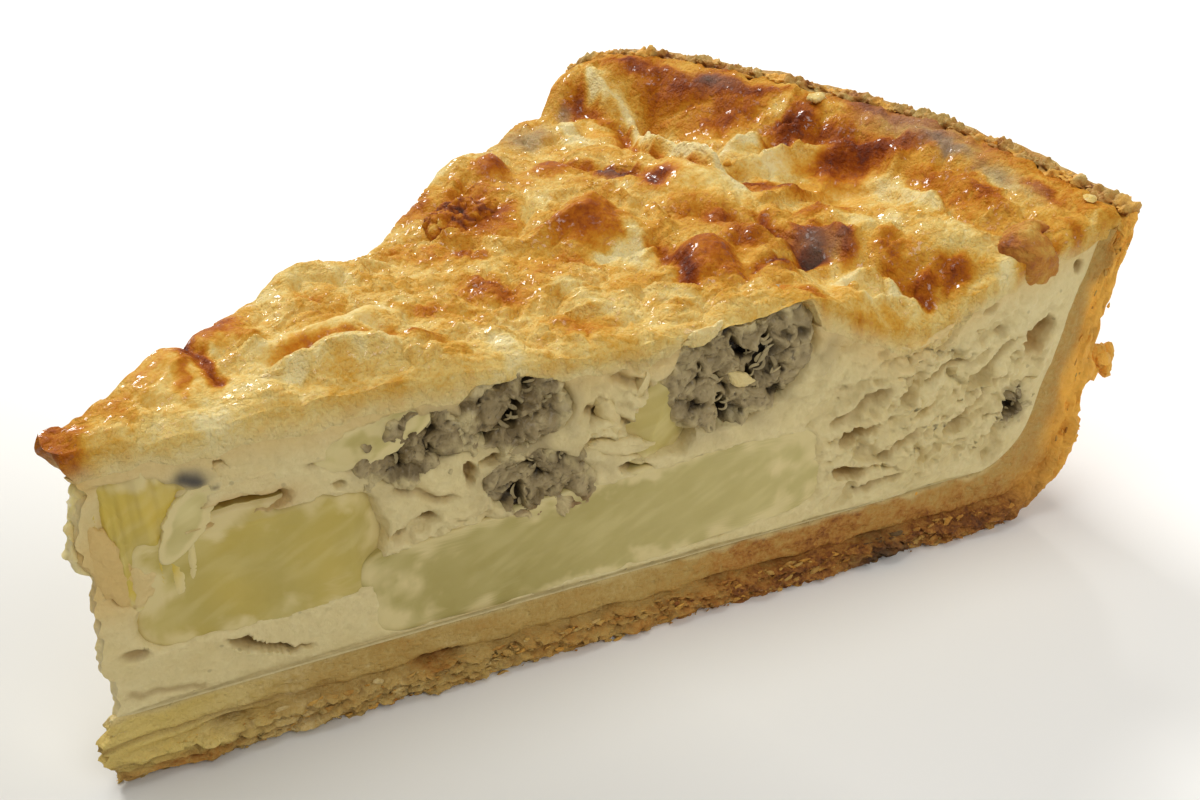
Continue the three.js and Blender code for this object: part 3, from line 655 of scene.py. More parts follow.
def foldedLevel(r, angle, swells, creaseWidth):
    # fill height, less the long crease, plus the bells of the swellings; it climbs to the rim at the wall
    x, y = r * np.cos(angle), r * np.sin(angle)
    points, width, depth = cheeseTop["crease"]
    z = tart["fillHeight"] - depth * bell(lineDistance(x, y, points)[0], creaseWidth)
    for sx, sy, swellWidth, rise in swells:
        z = z + rise * bell(np.hypot(x - sx, y - sy), swellWidth)
    length, share, below = cheeseTop["climb"]
    start = tart["innerRim"] - length * (1 + 0.35 * noise(angle * 118, 0 * r, 0 * r, 15, 62))
    climb = share * smooth(r, start, tart["innerRim"])
    return mix(z, tart["rimHeight"] - below - rimDip(angle), climb)


def topDetail(x, y):
    # lumps, folds with one steep side, thin creases and ridges, then warped bumps of three sizes, and grains
    wx = x + 1.8 * noise(x, y, 0 * x, 9, 41) + 0.7 * noise(x, y, 0 * x, 3, 42)
    wy = y + 1.8 * noise(x, y, 0 * x, 9, 43) + 0.7 * noise(x, y, 0 * x, 3, 44)
    nx, ny = mix(x, wx, 0.5), mix(y, wy, 0.5)
    z = cheeseTop["lumpScale"] * sum(spot[5] * lump(nx, ny, spot) for spot in cheeseTop["lumps"])
    for points, width, rise, lean in cheeseTop["folds"]:
        far, side = lineDistance(nx, ny, points)
        steep = np.where(side * np.sign(lean) > 0, abs(lean), 1.0)
        z = z + cheeseTop["foldScale"] * rise * bell(far, width * steep)
    for points, width, depth, dark in cheeseTop["creases"]:
        z = z - 1.2 * depth * bell(lineDistance(nx, ny, points)[0], width)
    calm = calmness(x, y)
    sugary = patch(x, y, cheeseTop["sugary"])
    lively = (0.3 + 0.7 * smooth(cloud(x, y, 0 * x, 14, 2, 53), -0.5, 0.4)) * (1 - 0.85 * calm)
    z = z + 1.15 * (billow(wx, wy, 9.5, 1, 51) - 0.6) * (1 - 0.8 * calm)
    z = z + 0.85 * (billow(wx, wy, 5.2, 1, 52) - 0.6) * lively
    z = z + 0.45 * (billow(nx, ny, 2.6, 1, 56) - 0.6) * (0.25 + 0.75 * lively)
    z = z + 0.4 * thinRidges(wx, wy) * (1 - 0.7 * calm)
    z = z + (0.14 + 0.16 * sugary) * (billow(x, y, 1.3, 1, 54) - 0.6) * (1 - 0.75 * calm)
    dome, lot = beads(x + 0.2 * noise(x, y, 0 * x, 1, 55), y, 1.0, 57)
    z = z + (0.02 + 0.34 * sugary) * (dome - 0.5) * lot ** 1.5 * (1 - 0.8 * calm)
    return z


def calmness(x, y):
    return np.clip(sum(patch(x, y, spot) for spot in cheeseTop["calm"]), 0, 1)


def thinRidges(x, y):
    # where films of cheese have folded up: only the crests of a folded noise
    return smooth(ridged(x, y, 0 * x, 8, 1, 60), 0.82, 0.98) * smooth(noise(x, y, 0 * x, 12, 61), -0.3, 0.3)


def topHeight(r, angle):
    # the folded level with its detail; over the rim it rises a little, then dives into the crust
    x, y = r * np.cos(angle), r * np.sin(angle)
    start = tart["innerRim"]
    away = 1 - 0.25 * smooth(r, start - 4, start)
    level = foldedLevel(r, angle, cheeseTop["swells"], cheeseTop["crease"][1])
    nearEdge = bell((tart["halfAngle"] - np.abs(angle)) * r, 2.2) * smooth(r, 8, 20)
    detail = topDetail(x, y) * away * (1 - 0.45 * nearEdge) * mix(0.5, 1, smooth(r, 0, 4))
    z = level + detail + cheeseTop["tipRise"] * bell(r, 6)
    uneven = 0.9 * noise(angle * 118, 0 * r, 0 * r, 5, 58) + 0.4 * noise(angle * 118, 0 * r, 0 * r, 1.8, 59)
    z = z + cheeseTop["overRim"] * smooth(r, start - 2, start + 0.5)
    z = z - 3.0 * smooth(r + 2.0 * uneven, start + 3.0, start + 5.4)
    # rounded off just below the highest place of the solids
    limit = cheeseTop["limit"]
    return limit - np.log1p(np.exp((limit - z) * 4)) / 4


def seamHeight(r, angle):
    broad = [swell for swell in cheeseTop["swells"] if swell[2] >= 8 or swell[3] < 0]
    return foldedLevel(r, angle, broad, 2 * cheeseTop["crease"][1]) - tart["cheeseThickness"]


# The pastry's two lines, from the tip along the base and up the wall
bandShares = (0.74, 0.84)   # where the bent foot starts and ends, out of the whole band


def curve(a, b, c, t):
    # a bend from a to c that is drawn towards b
    t = t[..., None]
    return (1 - t) ** 2 * np.array(a) + 2 * t * (1 - t) * np.array(b) + t ** 2 * np.array(c)


def innerLine(u):
    base, foot = bandShares
    flat = np.array([tart["tipWidth"], 9.0]) + (np.array([105.0, 9]) - [tart["tipWidth"], 9]) * (u / base)[..., None]
    bend = curve((105.0, 9), (111, 10), (113, 18), np.clip((u - base) / (foot - base), 0, 1))
    rim = np.array([tart["innerRim"], tart["rimHeight"] - 1])
    wall = np.array([113.0, 18]) + (rim - [113, 18]) * ((u - foot) / (1 - foot))[..., None]
    return np.where((u < base)[..., None], flat, np.where((u < foot)[..., None], bend, wall))


def outerLine(u):
    base, foot = bandShares
    flat = np.array([tart["tipWidth"], 0.0]) + (np.array([109.0, 0]) - [tart["tipWidth"], 0]) * (u / base)[..., None]
    bend = curve((109.0, 0), (119, 1), (120.5, 11), np.clip((u - base) / (foot - base), 0, 1))
    rim = (tart["rimRadius"], tart["rimHeight"])
    wall = curve((120.5, 11), (121, 24), rim, np.clip((u - foot) / (1 - foot), 0, 1))
    return np.where((u < base)[..., None], flat, np.where((u < foot)[..., None], bend, wall))


def wallInside(z):
    # radius of the wall's inner side at a height
    line = innerLine(np.linspace(0, 1, 400))
    return np.interp(z, line[:, 1], line[:, 0])


# Pieces of potato and mushroom: place on a cut and half sizes (along the cut, into the slice, up)
potatoes = {
    "potato_sliver": dict(side=-1, s=9.4, d=0.5, z=30, half=(1.25, 3.2, 4.8), lean=-32, power=2.2, face=-0.15, seed=1,
                          ochre=0.1, pale=0.6),
    "potato_tip_chunk": dict(side=-1, s=3.8, d=1.5, z=28.6, half=(5.7, 6.6, 7.2), lean=-9, power=4, face=0.1,
                             seed=2, ochre=0.85, pale=0.0),
    "potato_block": dict(side=-1, s=16.3, d=5, z=22.0, half=(12.6, 6.6, 6.6), lean=1, power=6, face=0.08, seed=3,
                         ochre=0.42, pale=0.0),
    "potato_long_slice": dict(side=-1, s=54.5, d=5, z=15.6, half=(27.8, 5.3, 5.9), lean=3, power=7, face=0.08,
                              seed=4, ochre=0.0, pale=0.0),
    "potato_small_chunk": dict(side=-1, s=61.6, d=3, z=28.2, half=(4.2, 4.2, 5.2), lean=-14, power=4, face=0.3,
                               seed=5, ochre=0.3, pale=0.25),
    "potato_thin_slice": dict(side=-1, s=28.4, d=2, z=34.2, half=(5.4, 3, 1.9), lean=17, power=3, face=0.2, seed=6,
                              ochre=0.15, pale=0.2, veil=0.75),
    "potato_far_slab": dict(side=1, s=64, d=5, z=15.6, half=(20, 5, 5.4), lean=-2, power=7, face=0.1, seed=7,
                            ochre=0.05, pale=0.0),
    "potato_far_chunk": dict(side=1, s=95, d=4, z=24.5, half=(8.5, 5.6, 6.4), lean=9, power=5, face=0.1, seed=8,
                             ochre=0.2, pale=0.0),
}
mushrooms = {
    "mushroom_near_left": dict(side=-1, s=32.6, d=1.6, z=32.0, half=(6.0, 4.4, 3.8), lean=8, seed=21, shreds=24, tone=0.2),
    "mushroom_near_middle": dict(side=-1, s=43.6, d=1.8, z=33.6, half=(6.4, 4.6, 4.2), lean=-8, seed=22, shreds=26, tone=0.05),
    "mushroom_near_low": dict(side=-1, s=46.4, d=1.6, z=24.0, half=(6.6, 4, 4.2), lean=-12, seed=23, shreds=24, tone=0.34),
    "mushroom_near_large": dict(side=-1, s=70.6, d=2.4, z=32.6, half=(9.4, 5.4, 7.0), lean=18, seed=24, shreds=64, tone=0.5),
    "mushroom_near_bit": dict(side=-1, s=109.6, d=0.8, z=18.6, half=(2.4, 2, 2.4), lean=20, seed=25, shreds=4, tone=0.1),
    "mushroom_far_left": dict(side=1, s=38, d=1.6, z=28.5, half=(7, 4.6, 4.6), lean=0, seed=26, shreds=14, tone=0.2),
    "mushroom_far_right": dict(side=1, s=79, d=1.8, z=29.6, half=(8, 5, 5.0), lean=0, seed=27, shreds=20, tone=0.3),
}


def outlineShare(piece, s, z, power):
    # 0 in the middle of a piece's outline on the cut and 1 on it
    a, b = turned(s - piece["s"], z - piece["z"], piece["lean"])
    return (np.abs(a / piece["half"][0]) ** power + np.abs(b / piece["half"][2]) ** power) ** (1 / power)


# How the cut surface of the filling lies: holes, cracks, curds, and room for what is set in it
cutMarks = {
    -1: {
        # s, z, half along, half up, turn, depth
        "holes": [
            (3.8, 15.8, 1.3, 0.8, 0, 1.6), (13.3, 13.3, 1.5, 0.7, -25, 2.2), (15.9, 11.8, 2.4, 0.7, -22, 2.4),
            (19, 10.9, 1.5, 0.4, 0, 1.0), (86.6, 20.2, 2.7, 1.2, 22, 3.2), (86.2, 14.5, 2.3, 1.0, -18, 2.6),
            (112.2, 27.6, 1.8, 2.1, -25, 3.0), (116.6, 35.9, 0.6, 1.1, 0, 1.6), (33.4, 23.2, 1.0, 0.8, 0, 1.6),
            (38.2, 27.3, 0.8, 1.3, 10, 1.8), (36, 20.6, 0.6, 0.5, 0, 1.0), (30, 22, 0.7, 0.5, 0, 1.0),
            (47.6, 18.1, 0.5, 0.8, 20, 1.2), (51.5, 20.3, 1.5, 1.0, 10, 1.4), (15.0, 29.7, 4.4, 1.2, 3, 4.0),
            (41, 28.4, 1.6, 0.6, 0, 1.4), (57.6, 22.8, 2.2, 0.8, -15, 1.8), (100, 34.8, 0.7, 0.5, 0, 0.8),
            (95, 31.5, 1.0, 0.35, 10, 0.8), (104, 32.6, 1.0, 0.4, 20, 0.9), (106.5, 29.4, 0.6, 0.5, 0, 0.8),
            (99, 27.9, 0.8, 0.35, 0, 0.8), (12.9, 35.2, 0.5, 0.7, 0, 1.2), (24.4, 29.8, 0.7, 0.5, 0, 0.8),
        ],
        # s, z to s, z, width, depth
        "cracks": [
            (84, 22.2, 90, 25.0, 0.5, 1.5), (96, 25.4, 102, 26.6, 0.45, 1.3), (101, 18, 107, 22.8, 0.5, 1.2),
            (91, 16.0, 95, 18.6, 0.4, 1.0), (87, 11.6, 93, 12.4, 0.4, 0.9), (104, 24.0, 108, 27.6, 0.4, 0.9),
            (52, 27.6, 60, 24.4, 0.5, 1.3), (30, 27.5, 36, 25, 0.4, 0.8), (52, 31.5, 57, 29, 0.5, 1.2),
            (22, 32.6, 29, 30.6, 0.4, 0.7), (2, 11.2, 9, 9.8, 0.35, 0.7), (56, 35, 60, 32, 0.5, 1.0),
        ],
        "curds": [(99, 20, 19, 11, 8, 1.0), (38, 20, 12, 6, 0, 0.55), (57, 31, 7, 6, 0, 0.75), (88, 30, 12, 5, 0, 0.3)],
        "gold": [(2.5, 26, 2.6, 6, 0, 0.55), (84, 36, 6, 3.0, -10, 0.5), (90, 34, 8, 2.0, -6, 0.25)],
        # orange painted glow over some holes: s, z, half along, half up, turn, amount
        "glow": [(15.0, 29.8, 5.2, 1.7, 3, 0.8), (86.6, 20.2, 2.6, 1.2, 22, 0.35), (112.2, 27.0, 1.8, 2.2, -25, 0.5),
                 (86.2, 14.5, 2.2, 1.0, -18, 0.35)],
        "dark": [(10.2, 34.6, 1.5, 1.1, -10, 0.95), (12.6, 33.4, 0.6, 0.4, 0, 0.6)],
        "seed": 60,
    },
    1: {
        "holes": [(22, 18, 1.2, 0.8, 0, 1.5), (50, 24, 2.2, 1.0, 15, 2.2), (104, 15, 2.2, 1.0, -20, 2.4),
                  (88, 14, 1.6, 0.7, 10, 1.6), (30, 12.5, 1.6, 0.6, -10, 1.4), (110, 29, 1.2, 1.5, 0, 1.8),
                  (60, 30, 1.0, 0.8, 0, 1.4), (14, 27, 1.0, 1.4, 0, 1.3)],
        "cracks": [(44, 20, 52, 22, 0.5, 1.2), (100, 20, 108, 22, 0.5, 1.2), (24, 24, 31, 22, 0.4, 1.0),
                   (66, 24, 73, 26, 0.5, 1.0), (15, 14, 22, 13, 0.4, 0.8)],
        "curds": [(100, 20, 16, 10, 0, 0.9), (26, 20, 14, 9, 0, 0.7), (58, 28, 10, 6, 0, 0.6)],
        "gold": [], "glow": [], "dark": [],
        "seed": 90,
    },
}


def cutWave(side, s, z):
    # the broad unevenness that the knife left, the same in all that shows at a cut
    seed = cutMarks[side]["seed"]
    return 0.35 * noise(s, z, 0 * s, 26, seed + 4) + 0.22 * noise(s, z, 0 * s, 8, seed + 5)


def cutSurface(side, s, z):
    # depth into the slice at a place on a cut, with what colours it: painted shade in pits and cracks, an orange
    # painted glow in some holes, stained by mushroom, golden
    marks = cutMarks[side]
    seed = marks["seed"]
    ws = s + 0.9 * noise(s, z, 0 * s, 4, seed) + 0.35 * noise(s, z, 0 * s, 1.3, seed + 1)
    wz = z + 0.7 * noise(s, z, 0 * s, 4, seed + 2) + 0.3 * noise(s, z, 0 * s, 1.3, seed + 3)
    wave = cutWave(side, s, z)
    depth = wave + 0.13 * cloud(ws, wz, 0 * s, 2.2, 4, seed + 6)
    curdy = np.clip(sum(spot[5] * patch(s, z, spot) for spot in marks["curds"]), 0, 1)
    # curds: torn chunks in layers that slant up to the right, crumbly ones between them, and open pockets
    along, across = turned(ws + 1.8 * noise(s, z, 0 * s, 7, seed + 16), wz + 1.8 * noise(s, z, 0 * s, 6, seed + 17), 22)
    along, across = along + 0.7 * noise(s, z, 0 * s, 1.5, seed + 7), across + 0.6 * noise(s, z, 0 * s, 1.2, seed + 11)
    first, second, number = cells(along * 0.5, across, 2.3, seed + 12)
    border = smooth(second - first, 0.0, 0.3)
    chunks = 1.5 * (number - 0.55) * border - 0.5 * (0.6 - first) * border
    crumbs = 0.65 * (0.6 - billow(along * 0.6, across, 1.7, 3, seed + 13))
    slits = smooth(noise(along * 0.42, across, 0 * s, 1.3, seed + 19), 0.34, 0.6)
    open_ = smooth(noise(along * 0.6, across, 0 * s, 3.4, seed + 14), 0.22, 0.5)
    layers = chunks + crumbs + 0.8 * slits + 0.45 * cloud(along * 0.6, across, 0 * s, 4.5, 2, seed + 15) + 1.5 * open_
    depth = depth + curdy * layers
    bubbles, gap, lot = cells(ws, wz, 1.5, seed + 8)
    pitted = np.where(lot > 0.9, smooth(bubbles, 0.5, 0.1), 0)
    depth = depth + pitted * (0.12 + 0.6 * curdy)
    # painted shade in the curds' open pockets, slits, bubbles and crumbly places
    pit = curdy * (0.28 * open_ + 0.2 * slits + 0.3 * pitted + 0.12 * smooth(crumbs, 0.1, 0.45))
    # holes and cracks go deeper, and are darkened with painted shade
    for hs, hz, long, wide, turn, deep in marks["holes"]:
        a, b = turned(ws - hs, wz - hz, turn)
        share = np.sqrt((a / long) ** 2 + (b / wide) ** 2)
        inside = smooth(share, 1.25, 0.55)
        depth = depth + deep * inside - 0.12 * bell(share - 1.35, 0.3)
        pit = pit + 0.9 * inside * min(deep / 2, 1)
    for s0, z0, s1, z1, width, deep in marks["cracks"]:
        inside = bell(lineDistance(ws, wz, [(s0, z0), (s1, z1)])[0], width)
        depth = depth + deep * inside
        pit = pit + 0.55 * inside
    stain = 0 * s
    torn = 0.7 * noise(s, z, 0 * s, 3.4, seed + 18)
    for piece in mushrooms.values():
        if piece["side"] == side:
            share = outlineShare(piece, ws + torn, wz - torn, 2.4)
            room = smooth((1 - share) * min(piece["half"][0], piece["half"][2]), -0.1, 1.3)
            depth = mix(depth, wave + np.minimum(3.2, piece["half"][1]), room)
            stain = stain + 0.6 * smooth(share, 1.5, 0.95) * smooth(noise(s, z, 0 * s, 3, seed + 9), -0.8, 0.6)
    for piece in potatoes.values():
        if piece["side"] == side:
            share = outlineShare(piece, s + 0.9 * (ws - s), z + 0.9 * (wz - z), piece["power"])
            room = smooth((1 - share) * min(piece["half"][0], piece["half"][2]), 0.0, 0.8)
            depth = mix(depth, wave + 3.4, room)
    tints = {"pit": pit, "stain": np.clip(stain, 0, 0.8)}
    for key in ("gold", "glow", "dark"):
        tints[key] = sum((spot[5] * patch(ws, wz, spot) for spot in marks[key]), 0 * s)
    # where the painted glow is, the painted shade of the pits is weaker
    tints["pit"] = np.clip(pit, 0, 0.95) * (1 - 0.8 * tints["glow"])
    depth = depth - 0.5 * tints["dark"]
    return depth, tints


def doughEdge(along, angle):
    # how far the dough's upper edge stands above or below its level
    wide = noise(along, angle * 6, 0 * along, 6, 107)
    return 0.6 * wide + 0.25 * noise(along, angle * 6, 0 * along, 1.8, 108)


def tipRagged(r, y, z):
    # torn layers of different reach at the tip, which die out along r
    torn = 1.1 * cloud(y * 0.5, z, 0 * y, 6, 4, 63, 0.6) + 0.5 * (billow(y * 0.4, z, 2.6, 1, 64) - 0.6)
    return (torn - 0.7 * bell(z - 25, 6)) * bell(r, 4)


def nearTip(s):
    # how much of a cut's relief is kept close to the tip, where the slice is thin
    return smooth(s, 0, 9)


# Custard: a block in radius, angle and height, its two cuts worked by cutSurface
custard = {"alongCut": 380, "across": 14, "up": 104, "sink": 1.9}


def makeCustard():
    # r runs from the tip to the wall's inside, the angle from cut to cut, z from the base to under the cheese
    u, v, w, quads = boxSkin(custard["alongCut"], custard["across"], custard["up"])
    angle = mix(-1, 1, v) * tart["halfAngle"]
    low = tart["baseThickness"] - custard["sink"]
    roughR = mix(tart["tipWidth"], tart["innerRim"] + 0.5, u)
    # away from the cuts the top is hidden, and lies lower
    nearest = np.minimum(v, 1 - v) * roughR * 2 * tart["halfAngle"]
    top = seamHeight(roughR, angle) + 0.3 - 2.2 * smooth(nearest, 3.5, 8)
    low = low + 0.35 * noise(roughR, 0 * u, v, 5, 61) + 0.2 * noise(roughR, 0 * u, v, 1.6, 62)
    z = mix(low, top, w)
    r = mix(tart["tipWidth"], wallInside(z) + custard["sink"], u)
    points = polar(r, angle, z)
    points[:, 0] -= tipRagged(r, points[:, 1], z)
    masks = {key: 0 * u for key in ("pit", "stain", "gold", "glow", "dark")}
    for side, share in ((-1, 1 - v), (1, v)):
        distance = (1 - share) * r * 2 * tart["halfAngle"]
        close = distance < 9
        depth, tints = cutSurface(side, r[close], z[close])
        # along the dough and the wall only the knife's unevenness is left, so that they meet without a line
        wave = cutWave(side, r[close], z[close])
        inner = (wallInside(z) - r)[close]
        depth = wave + (depth - wave) * smooth(w[close] * 30, 1.8, 3.8) * smooth(inner, -0.2, 1.2)
        border = 8.2 + doughEdge(r[close] - tart["tipWidth"], side * tart["halfAngle"])
        depth = depth + 0.6 * smooth(z[close], border, border - 0.6) + 0.6 * smooth(inner, -0.9, -1.6)
        fade = bell(distance[close], 1.6)
        thin = nearTip(r[close])
        points[close] += intoSlice(side, depth * fade * thin)
        under = bell(np.minimum(z - top, 0)[close], 3.0) * 0.46
        tints["gold"] = np.maximum(tints["gold"], under)
        for key, tint in tints.items():
            masks[key][close] += tint * fade
    return finish(makeMesh("custard_filling_look", points, [quads], masks, custardMaterial),
                  "custard", "custard_filling")


# Cheese: loops of near edge, top, far edge and underside, carried from the tip to the rim
cheese = {"along": 320, "edge": 16, "top": 240, "under": 20, "lip": 0.55, "feather": 1.6,
          "ontoRim": 4.4, "tipHalfWidth": (0.9, 2.4), "farLip": (9, 8, 1.9)}


def browning(x, y):
    # base tone, plus browned places, less pale ones, plus uneven mottling; 0 is cream and 1 is burnt
    wx = x + 0.9 * noise(x, y, 0 * x, 5, 71) + 0.6 * noise(x, y, 0 * x, 1.8, 72)
    wy = y + 0.9 * noise(x, y, 0 * x, 5, 73) + 0.6 * noise(x, y, 0 * x, 1.8, 74)
    brown = cheeseTop["baseBrown"] + 0.1 * cloud(wx, wy, 0 * x, 9, 3, 75) + 0.04 * cloud(x, y, 0 * x, 1.6, 2, 76)
    spots = sum(spot[5] * patch(wx, wy, spot) for spot in cheeseTop["browned"])
    spotty = 1 + 0.35 * cloud(wx, wy, 0 * x, 3.2, 3, 78)
    brown = brown - 0.045 * smooth(x, 50, 30) + 0.6 * (1 - np.exp(-1.35 * spots * spotty)) - 0.08 * thinRidges(wx, wy)
    pale = sum(spot[5] * patch(wx, wy, spot) for spot in cheeseTop["cream"])
    pale = pale + sum(c * bell(lineDistance(wx, wy, line)[0], wide) for line, wide, c in cheeseTop["paleLines"])
    # painted shade: the creases are browned darker
    brown = brown + sum(c * bell(lineDistance(wx, wy, line)[0], wide) for line, wide, deep, c in cheeseTop["creases"])
    # drier and browner up the wall
    brown = brown + 0.13 * smooth(np.hypot(x, y), 113, 121) * (1 + 0.9 * cloud(wx, wy, 0 * x, 6, 3, 77))
    ash = sum(spot[5] * patch(wx, wy, spot) for spot in cheeseTop["ash"])
    return brown - 0.85 * pale, ash


def makeCheese():
    # each loop lies at one radius; the edges hang over the cuts by a lip and thin out to nothing below
    n, m = cheese["edge"], cheese["top"]
    u = np.linspace(0, 1, cheese["along"])[:, None]
    r = mix(tart["tipWidth"] * 0.6, tart["innerRim"] + cheese["ontoRim"], u)
    # loop parts: w runs down from the top to the cheese's lower side, a runs from cut to cut
    edge = np.linspace(1, 0, n, endpoint=False)
    across = np.linspace(-1, 1, m)
    under = np.linspace(1, -1, cheese["under"] + 2)[1:-1]
    part = np.concatenate([np.full(n, 0), np.full(m, 1), np.full(n, 2), np.full(len(under), 3)])[None, :]
    a = np.concatenate([np.full(n, -1.0), across, np.full(n, 1.0), under])[None, :]
    w = np.concatenate([edge, np.zeros(m), 1 - edge, np.ones(len(under))])[None, :]
    a, w, part, r = (np.broadcast_to(k, (len(u), a.shape[1])) for k in (a, w, part, r))
    angle = a * tart["halfAngle"]
    top = topHeight(r, angle)
    bottom = np.minimum(seamHeight(r, angle), top - 1.0)
    isEdge = (part == 0) | (part == 2)
    # the edge's lower end reaches below the seam, where it is feathered onto the custard
    drips = 1 + 0.7 * noise(r, 0 * r, a, 5, 82) + 0.3 * noise(r, 0 * r, a, 1.7, 83) * smooth(np.abs(r - 85), 3, 8)
    low = np.where(isEdge, bottom - cheese["feather"] * drips, bottom)
    low = mix(low, top - 2.2, smooth(r, 120.4, 122.2) * isEdge)
    # the large mushroom reaches up to the skin, which is thin over it
    skinOnly = smooth(r, 61.5, 65) * smooth(r, 81, 78.5) * (part == 0)
    low = mix(low, np.minimum(top - 1.0, 39.2), skinOnly)
    z = mix(top, low, w)
    z = np.where(part == 3, bottom - 0.1, z)
    points = polar(r, angle, z)
    x, y = r * np.cos(angle), r * np.sin(angle)
    toNear = (1 + a) * tart["halfAngle"] * r
    toFar = (1 - a) * tart["halfAngle"] * r
    for side, far in ((-1, toNear), (1, toFar)):
        # round the top's edge off, push the lip out, and follow the custard's own relief lower down
        lip = cheese["lip"] * (0.55 + 0.45 * noise(r, 0 * r, 0 * r + side, 5, 81)) * smooth(r, 0, 10)
        lip = lip * (1 - 0.75 * smooth(r, 80, 88) * (side < 0))
        if side > 0:       # it hangs further over the far cut near the tip
            at, width, reach = cheese["farLip"]
            lip = lip + reach * bell(r - at, width) * (1 + 0.3 * noise(r, 0 * r, 0 * r, 3, 86))
        depth, tints = cutSurface(side, r, z)
        profile = -lip * np.sin(np.pi * np.clip(w * 0.9 + 0.16, 0, 1)) ** 0.8
        sunk = depth * nearTip(r) - 0.1 + 0.65 * smooth(w, 0.72, 1.0)
        onEdge = mix(profile, sunk, smooth(w, 0.2, 0.62))
        onTop = -lip * 0.55 * bell(far, 1.1)
        step = np.where(part == 1 + side, onEdge, np.where(part == 1, onTop, 0.0))
        step = np.where((part == 3), (depth * nearTip(r) + 0.5) * bell(far, 0.8), step)
        points = points + intoSlice(side, step)
        drop = np.where(part == 1, bell(far, 0.7), (part == 1 + side) * (1 - w) ** 2)
        points[..., 2] -= 0.5 * drop * smooth(r, 0, 6)
    # the nub at the tip is as wide as a bead, and round
    nub = bell(r, 3.4)
    halfWidth = np.where(a < 0, cheese["tipHalfWidth"][0], cheese["tipHalfWidth"][1])
    points[..., 1] += a * (1 - 0.55 * w) * halfWidth * nub
    points[..., 0] += (0.5 + 0.9 * a ** 2) * bell(r, 2.6) * (1 - 0.5 * w)
    points[..., 2] += 0.3 * noise(points[..., 0], points[..., 1], points[..., 2], 1.6, 87) * bell(r, 7)
    brown, ash = browning(x, y)
    inside = np.where(isEdge, smooth(w, 0.1, 0.95) * (1 - 0.6 * skinOnly), 0.0)
    inside = inside * (1 - 0.7 * patch(r, z, (0, 40.6, 4.2, 2.6, 0))) * (1 - 0.8 * smooth(r, 114, 118))
    relief = topDetail(x, y)
    wet = 0.35 + 0.5 * smooth(cloud(x, y, 0 * x, 8, 2, 85), -0.4, 0.5) + 0.4 * (brown - 0.3)
    wet = wet * (1 - 0.8 * smooth(r, 114, 120))
    brown = brown + 0.045 * np.clip(relief, -1.6, 1.4) * np.where(part == 1, 1, 0)
    goldenEdge = bell(toNear, 3.5) * smooth(r, 14, 24) * smooth(r, 82, 70)
    brown = mix(brown, 0.17, 0.6 * goldenEdge)
    brown = np.where(isEdge, mix(brown, brown * 0.8, w), brown)
    masks = {"browning": brown, "inside": inside, "wet": wet * (1 - inside), "ash": ash, "calm": calmness(x, y)}
    return finish(loft("melted_cheese_look", points, masks, cheeseMaterial), "browned_cheese", "melted_cheese_top")


# Pastry: a block along the band, from cut to cut, and from its outer to its inner side
pastry = {
    "along": 330, "across": 92, "through": 30, "rimAlong": 460, "rimAround": 30,
    "proud": 1.0, "groove": 0.5, "crags": 0.62, "crown": -0.15,
    "crumb": (122.6, 20.5, 3.0),     # radius, height and size of the crumb on the wall's outside at the near cut
    "burnt": (92, 0.8, 5.0, 2.4),    # s, z and half sizes of the burnt patch
    "reddish": [(78, 5, 12, 6, 0, 0.28), (6, 1.2, 5, 1.5, 0, 0.4), (33, 4.0, 3, 1.2, 0, 0.3), (101, 3, 7, 2.5, 0, 0.25)],
}


